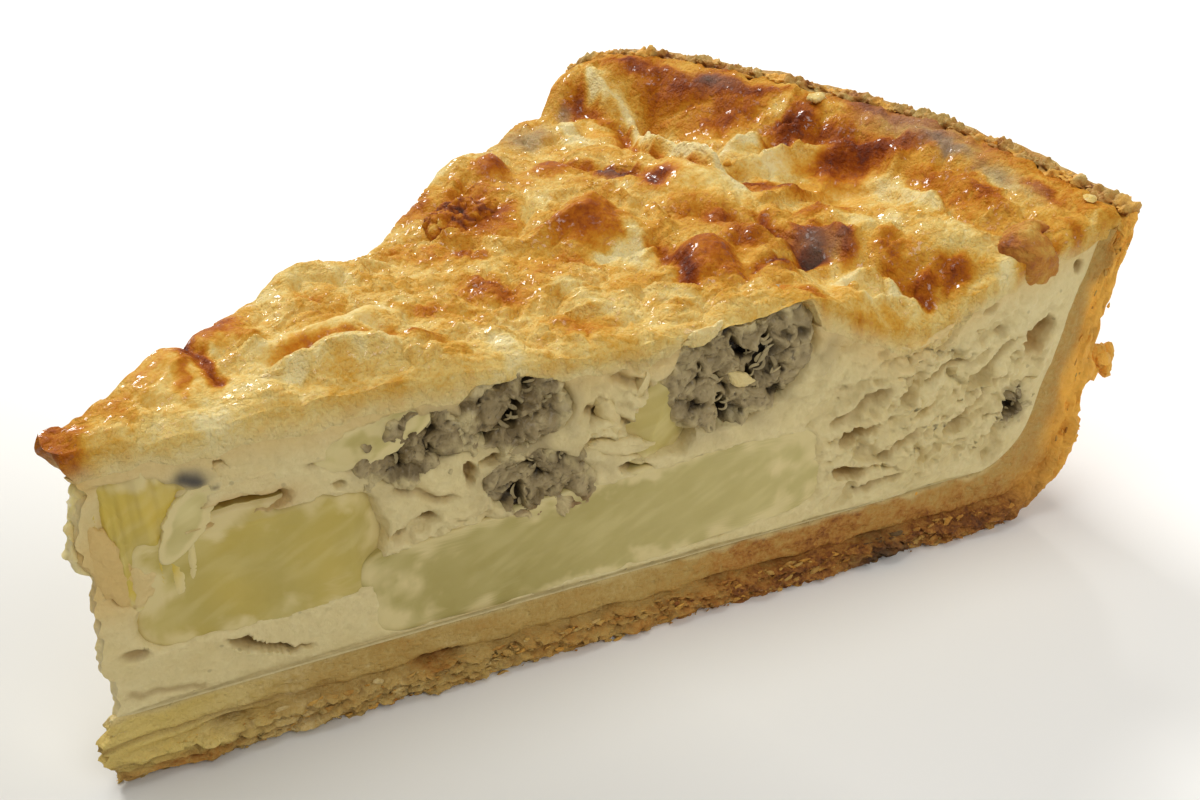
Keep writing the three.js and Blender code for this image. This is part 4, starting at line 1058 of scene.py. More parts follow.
def makePastry():
    # section points between the outer and inner line; the cuts get flaky relief, the rim a crown of crags
    u, v, w, quads = boxSkin(pastry["along"], pastry["across"], pastry["through"])
    outer, inner = outerLine(u), innerLine(u)
    section = mix(outer, inner, w[:, None])
    r, z = section[:, 0], section[:, 1]
    angle = mix(-1, 1, v) * tart["halfAngle"]
    thickness = np.hypot(*(inner - outer).T)
    skin = w * thickness                      # distance from the outer side
    wallShare = smooth(u, bandShares[0], bandShares[1])
    x, y = r * np.cos(angle), r * np.sin(angle)
    arc = angle * 118
    # outside: uneven on the wall, nearly flat below
    outward = section * 0
    direction = outer - inner
    direction = direction / np.hypot(*direction.T)[:, None]
    bumps = 0.35 * cloud(arc, z, r * 0, 9, 3, 101) + 0.2 * ridged(arc * 1.6, z * 0.7, r * 0, 4, 2, 102)
    outward = direction * (bumps * wallShare * (1 - w))[:, None]
    r = r + outward[:, 0]
    z = z + outward[:, 1]
    z = z * np.where(z < 9, mix(1, 1, w), 1)
    # rim: low crown, crags and flaky lines along it, lower towards the far cut
    rim = smooth(u, 0.93, 1.0)
    crown = pastry["crown"] * bell(w - 0.16, 0.2)
    craggy = 0.7 * cloud(arc, w * 5, 0 * r, 5, 4, 103, 0.65) + 0.15 * ridged(arc * 0.6, w * 5, 0 * r, 1.4, 2, 104)
    innerEdge = 1.6 * smooth(w, 0.22, 0.6)
    z = z + rim * (crown + 0.5 * craggy - innerEdge) - smooth(z, 30, tart["rimHeight"]) * rimDip(angle)
    r = r + rim * 0.5 * cloud(arc, z, 0 * r, 4, 3, 105)
    z = z + doughEdge(u * 140, angle) * smooth(w, 0.7, 1.0) * (1 - wallShare)
    points = polar(r, angle, z)
    points[:, 0] -= 1.4 * (billow(points[:, 1] * 0.4, z, 2.4, 2, 106) - 0.5) * bell(r, 4)
    cavity, bake, amber, smear = 0 * u, 0 * u, 0 * u, 0 * u
    # both cuts
    for side, share in ((-1, 1 - v), (1, v)):
        distance = (1 - share) * r * 2 * tart["halfAngle"]
        seed = 110 + side
        along = u * 140
        flaky = cloud(along * 0.8, skin * 2.6, 0 * r, 3.2, 4, seed, 0.72) * mix(1, 0.45, wallShare)
        wavy = skin + 0.45 * noise(along, 0 * r, 0 * r, 9, seed + 1) + 0.4 * cloud(along, 0 * r, 0 * r, 3.4, 3, seed + 2)
        edge = mix(tart["brownLayer"], 2.6, wallShare)
        brownPart = smooth(wavy, edge + 0.35, edge - 0.35)
        proud = pastry["proud"] * mix(1, 0.35, wallShare) * (1 + 0.4 * noise(along, 0 * r, 0 * r, 12, seed + 3))
        first, second, number = cells(along / 3.2 + 0.4 * flaky, skin + 0.3 * flaky, 0.95, seed + 4)
        split = bell(second - first, 0.14)
        step = -proud * brownPart
        gape = smooth(noise(along, 0 * r, 0 * r, 7, seed + 12), 0.0, 0.45) * (1 - wallShare)
        step = step + (pastry["groove"] + 1.3 * gape) * bell(wavy - edge - 0.45, 0.42) * (1 - 0.6 * wallShare)
        sheets = ridged(along * 0.16, skin + 0.35 * flaky, 0 * r, 0.85, 2, seed + 14)
        rough = brownPart * mix(1, 0.5, wallShare)
        step = step - rough * (pastry["crags"] * flaky + 0.6 * (number - 0.5) - 0.7 * split + 0.35 * sheets)
        upper = 1 - brownPart
        step = step + upper * (0.18 * cloud(along, skin * 1.6, 0 * r, 4, 3, seed + 5) + 0.12 * (number - 0.5))
        layered = ridged(along * 0.2, skin + 0.3 * flaky, 0 * r, 1.1, 2, seed + 6)
        torn = smooth(noise(along, 0 * r, 0 * r, 11, seed + 7), -0.1, 0.6)
        step = step + upper * 0.4 * torn * (0.6 - layered)
        rimFlakes = smooth(z, 31, 38)
        step = step + rimFlakes * (0.5 * cloud(skin * 2.5, z, 0 * r, 3, 3, seed + 8) + 0.3 * split)
        step = mix(step, cutWave(side, r, z) + 0.03, smooth(w, 0.72, 0.95)) + 0.5 * smooth(w, 0.965, 1.0)
        # the outer corner of the foot is the most ragged place
        corner = bell(along - 117, 7) * smooth(skin / thickness, 0.55, 0.2)
        step = step - corner * (0.3 + 1.0 * cloud(along, skin * 1.6, 0 * r, 3.4, 4, seed + 16, 0.65))
        # rounded lower edge, with bites out of it
        step = step + (0.9 + 0.6 * noise(along, 0 * r, 0 * r, 3, seed + 9)) * bell(skin, 0.55) * brownPart
        fade = bell(distance, 1.5)
        keep = mix(0.35, 1, nearTip(r))
        points += intoSlice(side, step * fade * keep)
        # painted shade in the splits between flakes, the hollows of the brown layer, the groove over it and the torn
        # dough
        cavity += fade * np.clip(brownPart * (0.6 * split * mix(1, 0.35, wallShare) + 0.3 * smooth(-flaky, 0.1, 0.9))
                                 + (0.1 + 0.75 * gape) * bell(wavy - edge - 0.45, 0.42) * (1 - wallShare)
                                 + upper * 0.35 * torn * smooth(0.3 - layered, 0, 0.8) * smooth(w, 0.85, 0.6), 0, 1)
        cut = smooth(distance, 2.2, 0.4)
        onBase = mix(0.17 + 0.22 * smooth(r, 50, 90), 0.16 + 0.36 * smooth(r, 20, 85), brownPart)
        onWall = mix(0.24, 0.5, smooth(skin / thickness, 0.95, 0.25))
        reddish = sum(spot[5] * patch(r, z, spot) for spot in pastry["reddish"])
        tone = mix(onBase, onWall, wallShare) + reddish * (side == -1)
        tone = tone - 0.12 * smooth(r, 30, 8) * (1 - wallShare) + 0.2 * smooth(r, 96, 112) * smooth(z, 9, 2)
        bake = bake + cut * (tone + 0.12 * noise(along, skin, 0 * r, 6, seed + 10))
        smear += cut * 0.8 * (1 - wallShare) * smooth(w + 0.1 * noise(along, 0 * r, 0 * r, 3, seed + 13), 0.88, 0.99)
        # painted glow: the wall's outer half is painted orange where light would come through it
        ring = smooth(skin / thickness + 0.25 * noise(along, skin, 0 * r, 5, seed + 11), 0.7, 0.2)
        glow = 1.0 + 0.3 * noise(along, skin, 0 * r, 3, seed + 15)
        amber += cut * ring * wallShare * glow * (0.6 if side > 0 else 1 + 0.35 * smooth(z, 26, 36))
        # frayed leaves of dough at the tip's end, darkened with painted shade
        leaf = bell(wavy - 5.6 + 0.05 * r, 0.32) * smooth(r, 30, 12) * (1 - wallShare)
        cavity += 0.55 * fade * leaf
        points += intoSlice(side, 0.5 * leaf * fade)
    # painted glow: the thin dough at the tip is painted yellow, where light would come through it
    butter = smooth(r, 20, 3) * smooth(z, 1.2, 3.0) * smooth(z, 9.2, 8)
    # frayed bulge low on the wall's outside, at the near cut, and the crumb that sticks there
    nearCut = v * r * 2 * tart["halfAngle"]
    crumbR, crumbZ, crumbSize = pastry["crumb"]
    outerHalf = smooth(w, 0.6, 0.0) * smooth(u, 0.8, 0.86)
    bulge = 1.8 * bell(z - 9.5, 3.6) * bell(nearCut, 3.5) * (1 + 0.6 * cloud(z, nearCut, 0 * r, 2, 3, 131))
    crumb = 3.2 * bell(np.hypot(z - crumbZ, (nearCut - 2.2) * 0.8), crumbSize * 0.7) * (1 + 0.3 * noise(z, nearCut, 0 * r, 1.3, 132))
    points[:, 0] += outerHalf * (bulge + crumb) * np.cos(angle)
    points[:, 1] += outerHalf * (bulge + crumb) * np.sin(angle)
    points[:, 2] = np.maximum(points[:, 2], 0)
    # tone of the sides: brown outside and under, paler inside, dark along the rim
    cutShare = np.clip(smooth(nearCut, 2.2, 0.4) + smooth((1 - v) * r * 2 * tart["halfAngle"], 2.2, 0.4), 0, 1)
    outsideTone = 0.5 + 0.2 * cloud(arc, z, 0 * r, 11, 4, 133) + 0.1 * smooth(z, 30, 40) + 0.1 * smooth(z, 12, 3)
    belowTone = 0.56 + 0.08 * cloud(x, y, 0 * r, 14, 3, 134)
    sideTone = mix(mix(belowTone, outsideTone, wallShare), 0.3, smooth(w, 0.55, 0.95) * (1 - rim))
    bake = mix(sideTone, bake, cutShare)
    # the rim's tone differs at random, and its hollows are browner as painted shade
    rimTone = 0.36 + 0.3 * cloud(arc, w * 6, 0 * r, 5, 4, 135, 0.6) + 0.22 * smooth(-craggy, 0, 0.8)
    bake = mix(bake, rimTone, rim * mix(1, 0.35, smooth(nearCut, 3, 0)))
    burntS, burntZ, burntLong, burntUp = pastry["burnt"]
    burnt = 0.9 * patch(r, z, (burntS, burntZ, burntLong, burntUp, 0)) * smooth(nearCut, 3, 1)
    burnt = burnt * smooth(noise(r, z, 0 * r, 3, 136), -0.6, 0.1)
    # painted glow on the frayed bulge and the crumb
    amber = np.maximum(amber, outerHalf * np.minimum(0.5 * bulge + crumb, 1) * 0.9)
    masks = {"bake": bake, "cavity": cavity, "burnt": burnt, "amber": amber, "butter": 0.75 * butter, "smear": smear}
    return finish(makeMesh("pastry_crust_look", points, [quads], masks, pastryMaterial), "pastry", "pastry_crust")


def makeRimCrags():
    # closed rings in a row along the crown of the rim, pushed in and out by noise of several sizes
    turn = np.linspace(0, 2 * np.pi, pastry["rimAround"], endpoint=False)[None, :]
    angle = np.linspace(-0.997, 0.997, pastry["rimAlong"])[:, None] * tart["halfAngle"]
    arc = angle * 124 + 0 * turn
    outR, up = np.cos(turn), np.sin(turn)
    swell = 0.75 + 0.5 * cloud(arc, 0 * arc, 0 * arc, 6, 3, 141)
    torn = 0.7 * cloud(arc, outR * 1.2, up * 1.2, 2.2, 4, 142, 0.68) + 0.3 * ridged(arc, outR, up, 1.3, 2, 143)
    r = 123.4 + (1.3 * swell + torn) * outR
    level = tart["rimHeight"] - 0.35 - rimDip(angle) + 0.4 * cloud(arc, 0 * arc, 0 * arc, 4, 3, 144)
    z = level + (0.8 * swell + torn) * up
    points = np.stack([r * np.cos(angle), r * np.sin(angle), z], -1)
    # tone differs at random and is darker in the recesses as painted shade, with amber tone at random
    tone = 0.44 + 0.34 * cloud(arc, outR, up, 4, 4, 145, 0.6) - 0.2 * torn
    masks = {"bake": tone, "cavity": 0.7 * smooth(-torn, 0.0, 0.4), "burnt": 0.0, "butter": 0.0, "smear": 0.0,
             "amber": 0.7 * smooth(cloud(arc, outR, up, 5, 3, 146), -0.1, 0.5)}
    return finish(loft("pastry_rim_crags", points, masks, pastryMaterial), "pastry")


# Lumps set in a cut: rings from the middle of the flat cut face, over its edge, to the back
def facedRings(front, corner, back, cornerSize, around):
    # ring radius 0 to 1 and depth 0 to 1: flat, then a quarter round of cornerSize, then a quarter oval
    a = np.linspace(0, np.pi / 2, corner + 1)[1:]
    b = np.linspace(0, np.pi / 2, back + 1)[1:-1]
    radius = np.concatenate([np.linspace(0.02, 1 - cornerSize, front), 1 - cornerSize + cornerSize * np.sin(a), np.cos(b)])
    depth = np.concatenate([np.zeros(front), cornerSize * (1 - np.cos(a)), cornerSize + (1 - cornerSize) * np.sin(b)])
    turn = np.linspace(0, 2 * np.pi, around, endpoint=False)
    return radius[:, None], depth[:, None], turn[None, :]


def wedgeDepth(s, through=False):
    # how deep the slice is behind a place on one cut; only a piece that goes through reaches the other cut
    return np.maximum(s + (1.1 if through else -0.9), 0.6)


def lumpPoints(piece, radius, depth, turn, power, grow, ragged, seed):
    # the outline is a superellipse of the half sizes, made uneven by noise around it
    longHalf, deepHalf, upHalf = piece["half"]
    c, q = np.cos(turn), np.sin(turn)
    reach = (np.abs(c / longHalf) ** power + np.abs(q / upHalf) ** power) ** (-1 / power)
    uneven = ragged * cloud(c * 3, q * 3, 0 * c, 1.1, 3, seed)
    reach = reach + grow + uneven
    a, b = radius * reach * c, radius * reach * q
    lean = np.radians(piece["lean"])
    s = piece["s"] + a * np.cos(lean) - b * np.sin(lean)
    z = piece["z"] + a * np.sin(lean) + b * np.cos(lean)
    return s, z, depth * 2 * deepHalf


def makePotato(name, piece):
    # smooth waxy face, slightly dished, with faint strokes of the knife; its back is hidden in the custard
    seed = piece["seed"]
    size = max(piece["half"][0], piece["half"][2])
    front = int(np.clip(size * 2.6, 26, 60))
    radius, depth, turn = facedRings(front, 6, 12, 0.07, int(np.clip(size * 12, 120, 300)))
    ragged = 0.9 if name == "potato_tip_chunk" else 0.3
    s, z, d = lumpPoints(piece, radius, depth, turn, piece["power"], 0.9, ragged, seed)
    onFace = 1 - smooth(depth, 0, 0.1)
    relief = 0.16 * noise(s, z, 0 * s, 9, seed) + 0.05 * cloud(s, z, 0 * s, 2, 2, seed + 1)
    relief = relief + 0.03 * noise(s * 0.25, z, 0 * s, 0.7, seed + 2)
    if name == "potato_tip_chunk":     # split along its height, and ragged at the tip
        relief = relief + 0.55 * ridged(s, z * 0.12, 0 * s, 2.2, 2, seed + 3) - 0.4
        relief = relief + 0.5 * smooth(s, 2, -3) * cloud(s, z, 0 * s, 1.6, 3, seed + 4)
    if name == "potato_block":         # its right side turns away from the cut
        relief = relief + 0.5 * np.maximum(s - 25.2, 0) + 0.6 * np.maximum(z - 27.6, 0)
    if name == "potato_small_chunk":   # two facets
        relief = relief + 0.35 * np.abs(s - 60.5 - 0.4 * (z - 28))
    d = piece["face"] + d + (relief + cutWave(piece["side"], s, z)) * onFace
    d = np.minimum(d, wedgeDepth(s, name == "potato_tip_chunk"))
    points = onCut(piece["side"], s, d, z)
    if name == "potato_tip_chunk":
        points[..., 0] -= (tipRagged(0 * s, points[..., 1], z + 1.3) - 0.8) * smooth(s, 3, -2)
    # custard smeared over the piece near its outline
    share = outlineShare(piece, s, z, piece["power"])
    smear = smooth(share + 0.3 * cloud(s, z, 0 * s, 3.4, 4, seed + 7), 0.74, 1.08) * 0.85 * onFace
    smear = np.maximum(smear, piece.get("veil", 0) * smooth(cloud(s, z, 0 * s, 3, 3, seed + 8), -0.6, 0.3))
    ochre = piece["ochre"] * (0.8 + 0.4 * noise(s, z, 0 * s, 5, seed + 5))
    pale = piece["pale"] * (0.8 + 0.5 * noise(s, z, 0 * s, 3, seed + 6))
    if name == "potato_tip_chunk":
        pale = pale + 0.7 * smooth(s, 1.5, -2.5)
        ochre = ochre + 0.3 * smooth(z, 26, 23)
    if name in ("potato_long_slice", "potato_far_slab"):
        pale = pale + 0.22 * smooth(s, 45, 78)
    # faint fibres that slant up to the right
    a, b = turned(s, z, 28)
    pale = pale + 0.2 * smooth(cloud(a * 0.22, b, 0 * s, 1.8, 3, seed + 9), -0.2, 0.7)
    masks = {"ochre": ochre, "pale": pale, "smear": smear}
    return finish(loft(name + "_look", points, masks, potatoMaterial), "potato", name)


def shredPoints(piece, count, seed):
    # curled shreds on a mushroom's face: a short bent path each, with a flat oval section of six points
    draw = np.random.default_rng(seed)
    t = np.linspace(0, 1, 11)[None, :, None]
    turn = np.linspace(0, 2 * np.pi, 6, endpoint=False)[None, None, :]
    pick = lambda low, high: draw.uniform(low, high, (count, 1, 1))
    radius, around = np.sqrt(pick(0.02, 0.6)), pick(0, 2 * np.pi)
    s0 = piece["s"] + piece["half"][0] * radius * np.cos(around)
    z0 = piece["z"] + piece["half"][2] * radius * np.sin(around)
    heading, bend, length = pick(0, 2 * np.pi), pick(-3.2, 3.2), pick(1.0, 2.8)
    wide, thick, lift = pick(0.1, 0.34), pick(0.08, 0.16), pick(0.0, 0.6)
    direction = heading + bend * t
    ds = np.cumsum(np.cos(direction), 1) * length / 11
    dz = np.cumsum(np.sin(direction), 1) * length / 11
    taper = np.sin(np.pi * np.clip(t * 0.96 + 0.02, 0, 1)) ** 0.5
    sideways = wide * taper * np.cos(turn)
    outwards = thick * taper * np.sin(turn)
    s = s0 + ds - np.sin(direction) * sideways
    z = z0 + dz + np.cos(direction) * sideways
    z = np.minimum(z, 38.4)
    d = 0.75 - lift * np.sin(np.pi * t) - outwards + 0.25 * noise(s, z, 0 * s, 1.2, seed)
    return onCut(piece["side"], s, d, z)


def joined(parts):
    # several lofts in one mesh: points, faces and masks one after the other
    points, quads, tris, masks = [], [], [], {}
    base = 0
    for loops, values in parts:
        quad, tri = loftFaces(*loops.shape[:2], base)
        flat = withPoles(loops)
        points.append(flat)
        quads.append(quad)
        tris.append(tri)
        for key, value in values.items():
            grown = withPoles(np.broadcast_to(value, loops.shape[:2])[..., None])[:, 0]
            masks.setdefault(key, []).append(grown)
        base += len(flat)
    return np.concatenate(points), [np.concatenate(quads), np.concatenate(tris)], {
        key: np.concatenate(value) for key, value in masks.items()}


def makeMushroom(name, piece):
    # a ragged mass of small lumps with dark painted shade in the hollows between them, and curled shreds lying on it
    seed = piece["seed"]
    size = max(piece["half"][0], piece["half"][2])
    front = int(np.clip(size * 5.5, 26, 56))
    radius, depth, turn = facedRings(front, 6, 10, 0.16, int(np.clip(size * 20, 90, 200)))
    s, z, d = lumpPoints(piece, radius, depth, turn, 2.3, 0.7, 1.3, seed)
    if piece["z"] < 38:     # it stays under the cheese
        z = np.minimum(z, topHeight(s, 0 * s + piece["side"] * tart["halfAngle"]) - 0.9)
    onFace = 1 - smooth(depth, 0, 0.2)
    ws = s + 0.8 * noise(s, z, 0 * s, 2.6, seed + 1)
    wz = z + 0.8 * noise(s, z, 0 * s, 2.6, seed + 2)
    folds, lot = beads(ws, wz, 1.9, seed + 3)
    fine, fineLot = beads(ws + 0.4 * noise(s, z, 0 * s, 1, seed + 9), wz, 0.85, seed + 5)
    crinkle = billow(ws, wz, 1.6, 2, seed + 13)
    holes = smooth(noise(ws, wz, 0 * s, 2.8, seed + 4), 0.26, 0.6)
    relief = 1.1 * (0.7 - folds) * (0.6 + lot) + 0.45 * (0.6 - fine) * (0.4 + fineLot) + 1.6 * holes
    relief = relief + 0.35 * (0.8 - crinkle)
    relief = relief + 0.6 * cloud(s, z, 0 * s, 4, 2, seed + 6)
    big = 0 * s
    if name == "mushroom_near_large":
        big = patch(ws, wz, (73.6, 33.2, 1.9, 2.1, 0)) + 0.8 * patch(ws, wz, (69.6, 26.8, 1.3, 1.1, 0))
        relief = relief + 2.0 * big
    d = np.minimum(0.35 + d + (relief + cutWave(piece["side"], s, z)) * onFace, wedgeDepth(s))
    # painted shade: near black in the gaps between the lumps, in the holes and in the big hole
    painted_gap_shade = 0.8 * smooth(0.66 - folds, 0, 0.35) + 0.5 * smooth(0.6 - fine, 0, 0.4) + 0.4 * smooth(0.5 - crinkle, 0, 0.5)
    hollow = np.clip(0.85 * holes + painted_gap_shade + big, 0, 0.95)
    hollow = hollow * onFace
    torn = piece["tone"] + 0.6 * smooth(folds, 0.7, 1.0) * fineLot + 0.4 * noise(s, z, 0 * s, 3, seed + 12)
    torn = np.clip(torn, 0, 0.9) * (1 - hollow)
    toast = 0.5 * smooth(piece["z"] - z, piece["half"][2] * 0.45, piece["half"][2]) * (name == "mushroom_near_low")
    # custard that has run over it, most along its outline
    share = outlineShare(piece, s, z, 2.3)
    veil = smooth(share + 0.5 * cloud(s, z, 0 * s, 3.2, 3, seed + 10), 0.8, 1.15) * 0.8
    veil = np.maximum(veil, 0.5 * smooth(noise(s, z, 0 * s, 3.0, seed + 11), 0.42, 0.75)) * (1 - 0.8 * hollow)
    parts = [(onCut(piece["side"], s, d, z), {"hollow": hollow, "torn": torn, "toast": toast + 0 * s, "veil": veil})]
    shreds = shredPoints(piece, piece["shreds"], seed + 7)
    draw = np.random.default_rng(seed + 8)
    for loops in shreds:
        # each shred gets a random darker tone
        parts.append((loops, {"hollow": draw.uniform(0, 0.3), "torn": piece["tone"] + draw.uniform(0.0, 0.5), "toast": 0.0,
                              "veil": draw.uniform(0, 0.35)}))
    return finish(makeMesh(name + "_look", *joined(parts), mushroomMaterial), "mushroom", name)


# Lumps on the browned top
toppings = {
    "browned_lump_near_rim": dict(at=(104.5, -39.6, 37.2), half=(4.9, 3.8, 4.0), seed=31, slot="browned_topping"),
    "mushroom_on_top": dict(at=(64.6, 17.5, 36.1), half=(6.0, 4.8, 3.6), seed=32, slot="browned_topping"),
}


def makeTopping(name, lump):
    # a round lump in rings from its top to its underside, pushed out and in by noise and small cells
    seed = lump["seed"]
    down = np.linspace(0, np.pi, 90)[1:-1, None]
    turn = np.linspace(0, 2 * np.pi, 150, endpoint=False)[None, :]
    unit = np.stack(np.broadcast_arrays(np.sin(down) * np.cos(turn), np.sin(down) * np.sin(turn), np.cos(down)), -1)
    at, half = np.array(lump["at"]), np.array(lump["half"])
    p = unit * half
    x, y, z = p[..., 0], p[..., 1], p[..., 2]
    first, second, number = cells(x + 0.5 * z + 20, y - 0.5 * z + 20, 1.15, seed)
    if name == "mushroom_on_top":
        # crumbs of several sizes over gaps that painted shade makes browner and greyer
        out = 0.75 * cloud(x, y, z, 3.2, 4, seed, 0.65) + 0.3 * (0.5 - first) + 0.3 * (number - 0.5)
        painted_gap_shade = np.clip(smooth(first, 0.35, 0.75) * 0.6 + smooth(-out, 0.1, 0.9) * 0.4, 0, 1)
        masks = {"browning": 0.5 + 0.36 * painted_gap_shade - 0.2 * number * smooth(out, 0.1, 0.8), "inside": 0.0,
                 "wet": 0.35, "ash": 0.25 * painted_gap_shade, "calm": 0.0}
        material = cheeseMaterial
    else:
        # a round browned knob with a cleft on the side that faces the near cut, darkened with painted shade, and a
        # paler crumbly rim
        out = 0.35 * cloud(x, y, z, 4, 3, seed) + 0.22 * cloud(x, y, z, 1.5, 3, seed + 2) + 0.15 * (0.5 - first)
        cleft = bell(x + 0.25 * z - 1.6, 0.8) * smooth(-y, 0.2, 2.2) * smooth(z, -3, 0.5)
        crumbly = smooth(x, 1.5, 3.5)
        out = out - 1.5 * cleft + 0.35 * crumbly * (0.5 - first)
        tone = 0.43 + 0.32 * cleft + 0.16 * cloud(x, y, z, 2.4, 3, seed + 1) - 0.16 * crumbly * number
        masks = {"browning": tone, "inside": 0.0, "wet": 0.25 + 0.5 * cleft, "ash": 0.22 - 0.2 * cleft, "calm": 0.2}
        material = cheeseMaterial
    points = at + unit * (half + out[..., None])
    return finish(loft(name + "_look", points, masks, material), lump["slot"], name)


# Thin flakes of cheese, custard and pastry, joined by finish
def flakeLoops(centre, axisLong, axisWide, normal, long, wide, thick, seed, curl=0.0):
    # a ragged oval plate: rings from the middle of its outer face to the middle of its back, bent along its length
    rough = long < 1.5      # small ones are plain angular crumbs
    rings = np.array([0.6, 1.0, 0.55] if rough else [0.3, 0.7, 0.93, 1.0, 0.93, 0.7, 0.3])[:, None]
    rise = np.array([1.0, 0.0, -1.0] if rough else [1.0, 0.95, 0.7, 0.0, -0.7, -0.95, -1.0])[:, None]
    turn = np.linspace(0, 2 * np.pi, 7 if rough else 44, endpoint=False)[None, :]
    ragged = 1 + (0.6 if rough else 0.34) * cloud(np.cos(turn) * 2, np.sin(turn) * 2, 0 * turn, 1.4, 4, seed)
    a = long * rings * ragged * np.cos(turn)
    b = wide * rings * ragged * np.sin(turn)
    c = thick * rise + curl * (a / long) ** 2 + (0 if rough else 0.22) * cloud(a, b, 0 * a + seed, 1.6, 3, seed + 1)
    axes = [np.asarray(k, float) / np.linalg.norm(k) for k in (axisLong, axisWide, normal)]
    return np.asarray(centre, float) + a[..., None] * axes[0] + b[..., None] * axes[1] + c[..., None] * axes[2]


cutOut = {side: -np.array([sinHalf, -side * cosHalf, 0]) for side in (-1, 1)}      # out of the slice
cutAlong = {side: np.array([cosHalf, side * sinHalf, 0]) for side in (-1, 1)}      # from the tip to the rim
upward = np.array([0, 0, 1.0])

custardFlakes = [
    # s, d, z, long, wide, lean, thick, gold: loose pieces of custard over the near cut
    (1.4, 0.0, 26.4, 2.2, 4.6, 14, 0.5, 0.6), (4.0, 0.2, 23.6, 1.8, 2.0, 0, 0.5, 0.35),
    (14.2, 0.75, 33.2, 5.8, 2.2, -4, 1.2, 0.15), (55.5, 0.5, 26.2, 4.2, 1.0, -14, 0.8, 0.05),
    (54.5, 0.6, 30.2, 1.4, 2.6, 20, 0.9, 0.1), (58.2, 0.6, 33.0, 1.1, 2.8, -18, 0.9, 0.1),
]


def makeCustardFlakes():
    parts = []
    for i, (s, d, z, long, wide, lean, thick, gold) in enumerate(custardFlakes):
        c, q = np.cos(np.radians(lean)), np.sin(np.radians(lean))
        longAxis = cutAlong[-1] * c + upward * q
        wideAxis = upward * c - cutAlong[-1] * q
        loops = flakeLoops(onCut(-1, s, d, z), longAxis, wideAxis, cutOut[-1], long, wide, thick, 200 + i, -0.25)
        parts.append((loops, {"gold": gold, "pit": 0.0, "stain": 0.0, "glow": 0.0, "dark": 0.0}))
    return finish(makeMesh("custard_flakes", *joined(parts), custardMaterial), "custard")


def makeCheeseFlakes():
    # the yellow flake on the near edge, the chip on the mushroom, and crumbs lying on the top
    parts = []
    along = cutAlong[-1]
    loops = flakeLoops(onCut(-1, 65.2, -0.5, 38.0), along + 0.25 * upward, upward - 0.1 * along, cutOut[-1],
                       2.5, 0.95, 0.35, 240, -0.5)
    parts.append((loops, {"browning": 0.06, "inside": 0.35, "wet": 0.4, "ash": 0.0, "calm": 0.3}))
    loops = flakeLoops(onCut(-1, 70.4, 0.0, 31.2), along - 0.6 * upward, upward + 0.6 * along, cutOut[-1],
                       1.9, 0.8, 0.35, 241, -0.3)
    parts.append((loops, {"browning": 0.0, "inside": 0.8, "wet": 0.4, "ash": 0.0, "calm": 0.3}))
    crumbs = [(105, 12, 1.5, 0.9, 0.36), (119, 3, 1.7, 1.2, 0.12), (112.5, -42.5, 1.1, 0.9, 0.16),
              (99, 3, 0.8, 0.6, 0.3), (83, -29, 1.0, 0.6, 0.3)]
    for i, (x, y, long, wide, brown) in enumerate(crumbs):
        r, angle = np.hypot(x, y), np.arctan2(y, x)
        z = float(topHeight(np.array([r]), np.array([angle]))[0]) + 0.25
        loops = flakeLoops((x, y, z), (1, 0.4, 0), (-0.4, 1, 0), upward, long, wide, 0.4, 250 + i)
        parts.append((loops, {"browning": brown, "inside": 0.0, "wet": 0.5, "ash": 0.0, "calm": 0.3}))
    return finish(makeMesh("cheese_flakes", *joined(parts), cheeseMaterial), "browned_cheese")


pastryFlakes = {"baseCount": 1250, "rimCount": 260, "wallCount": 50}


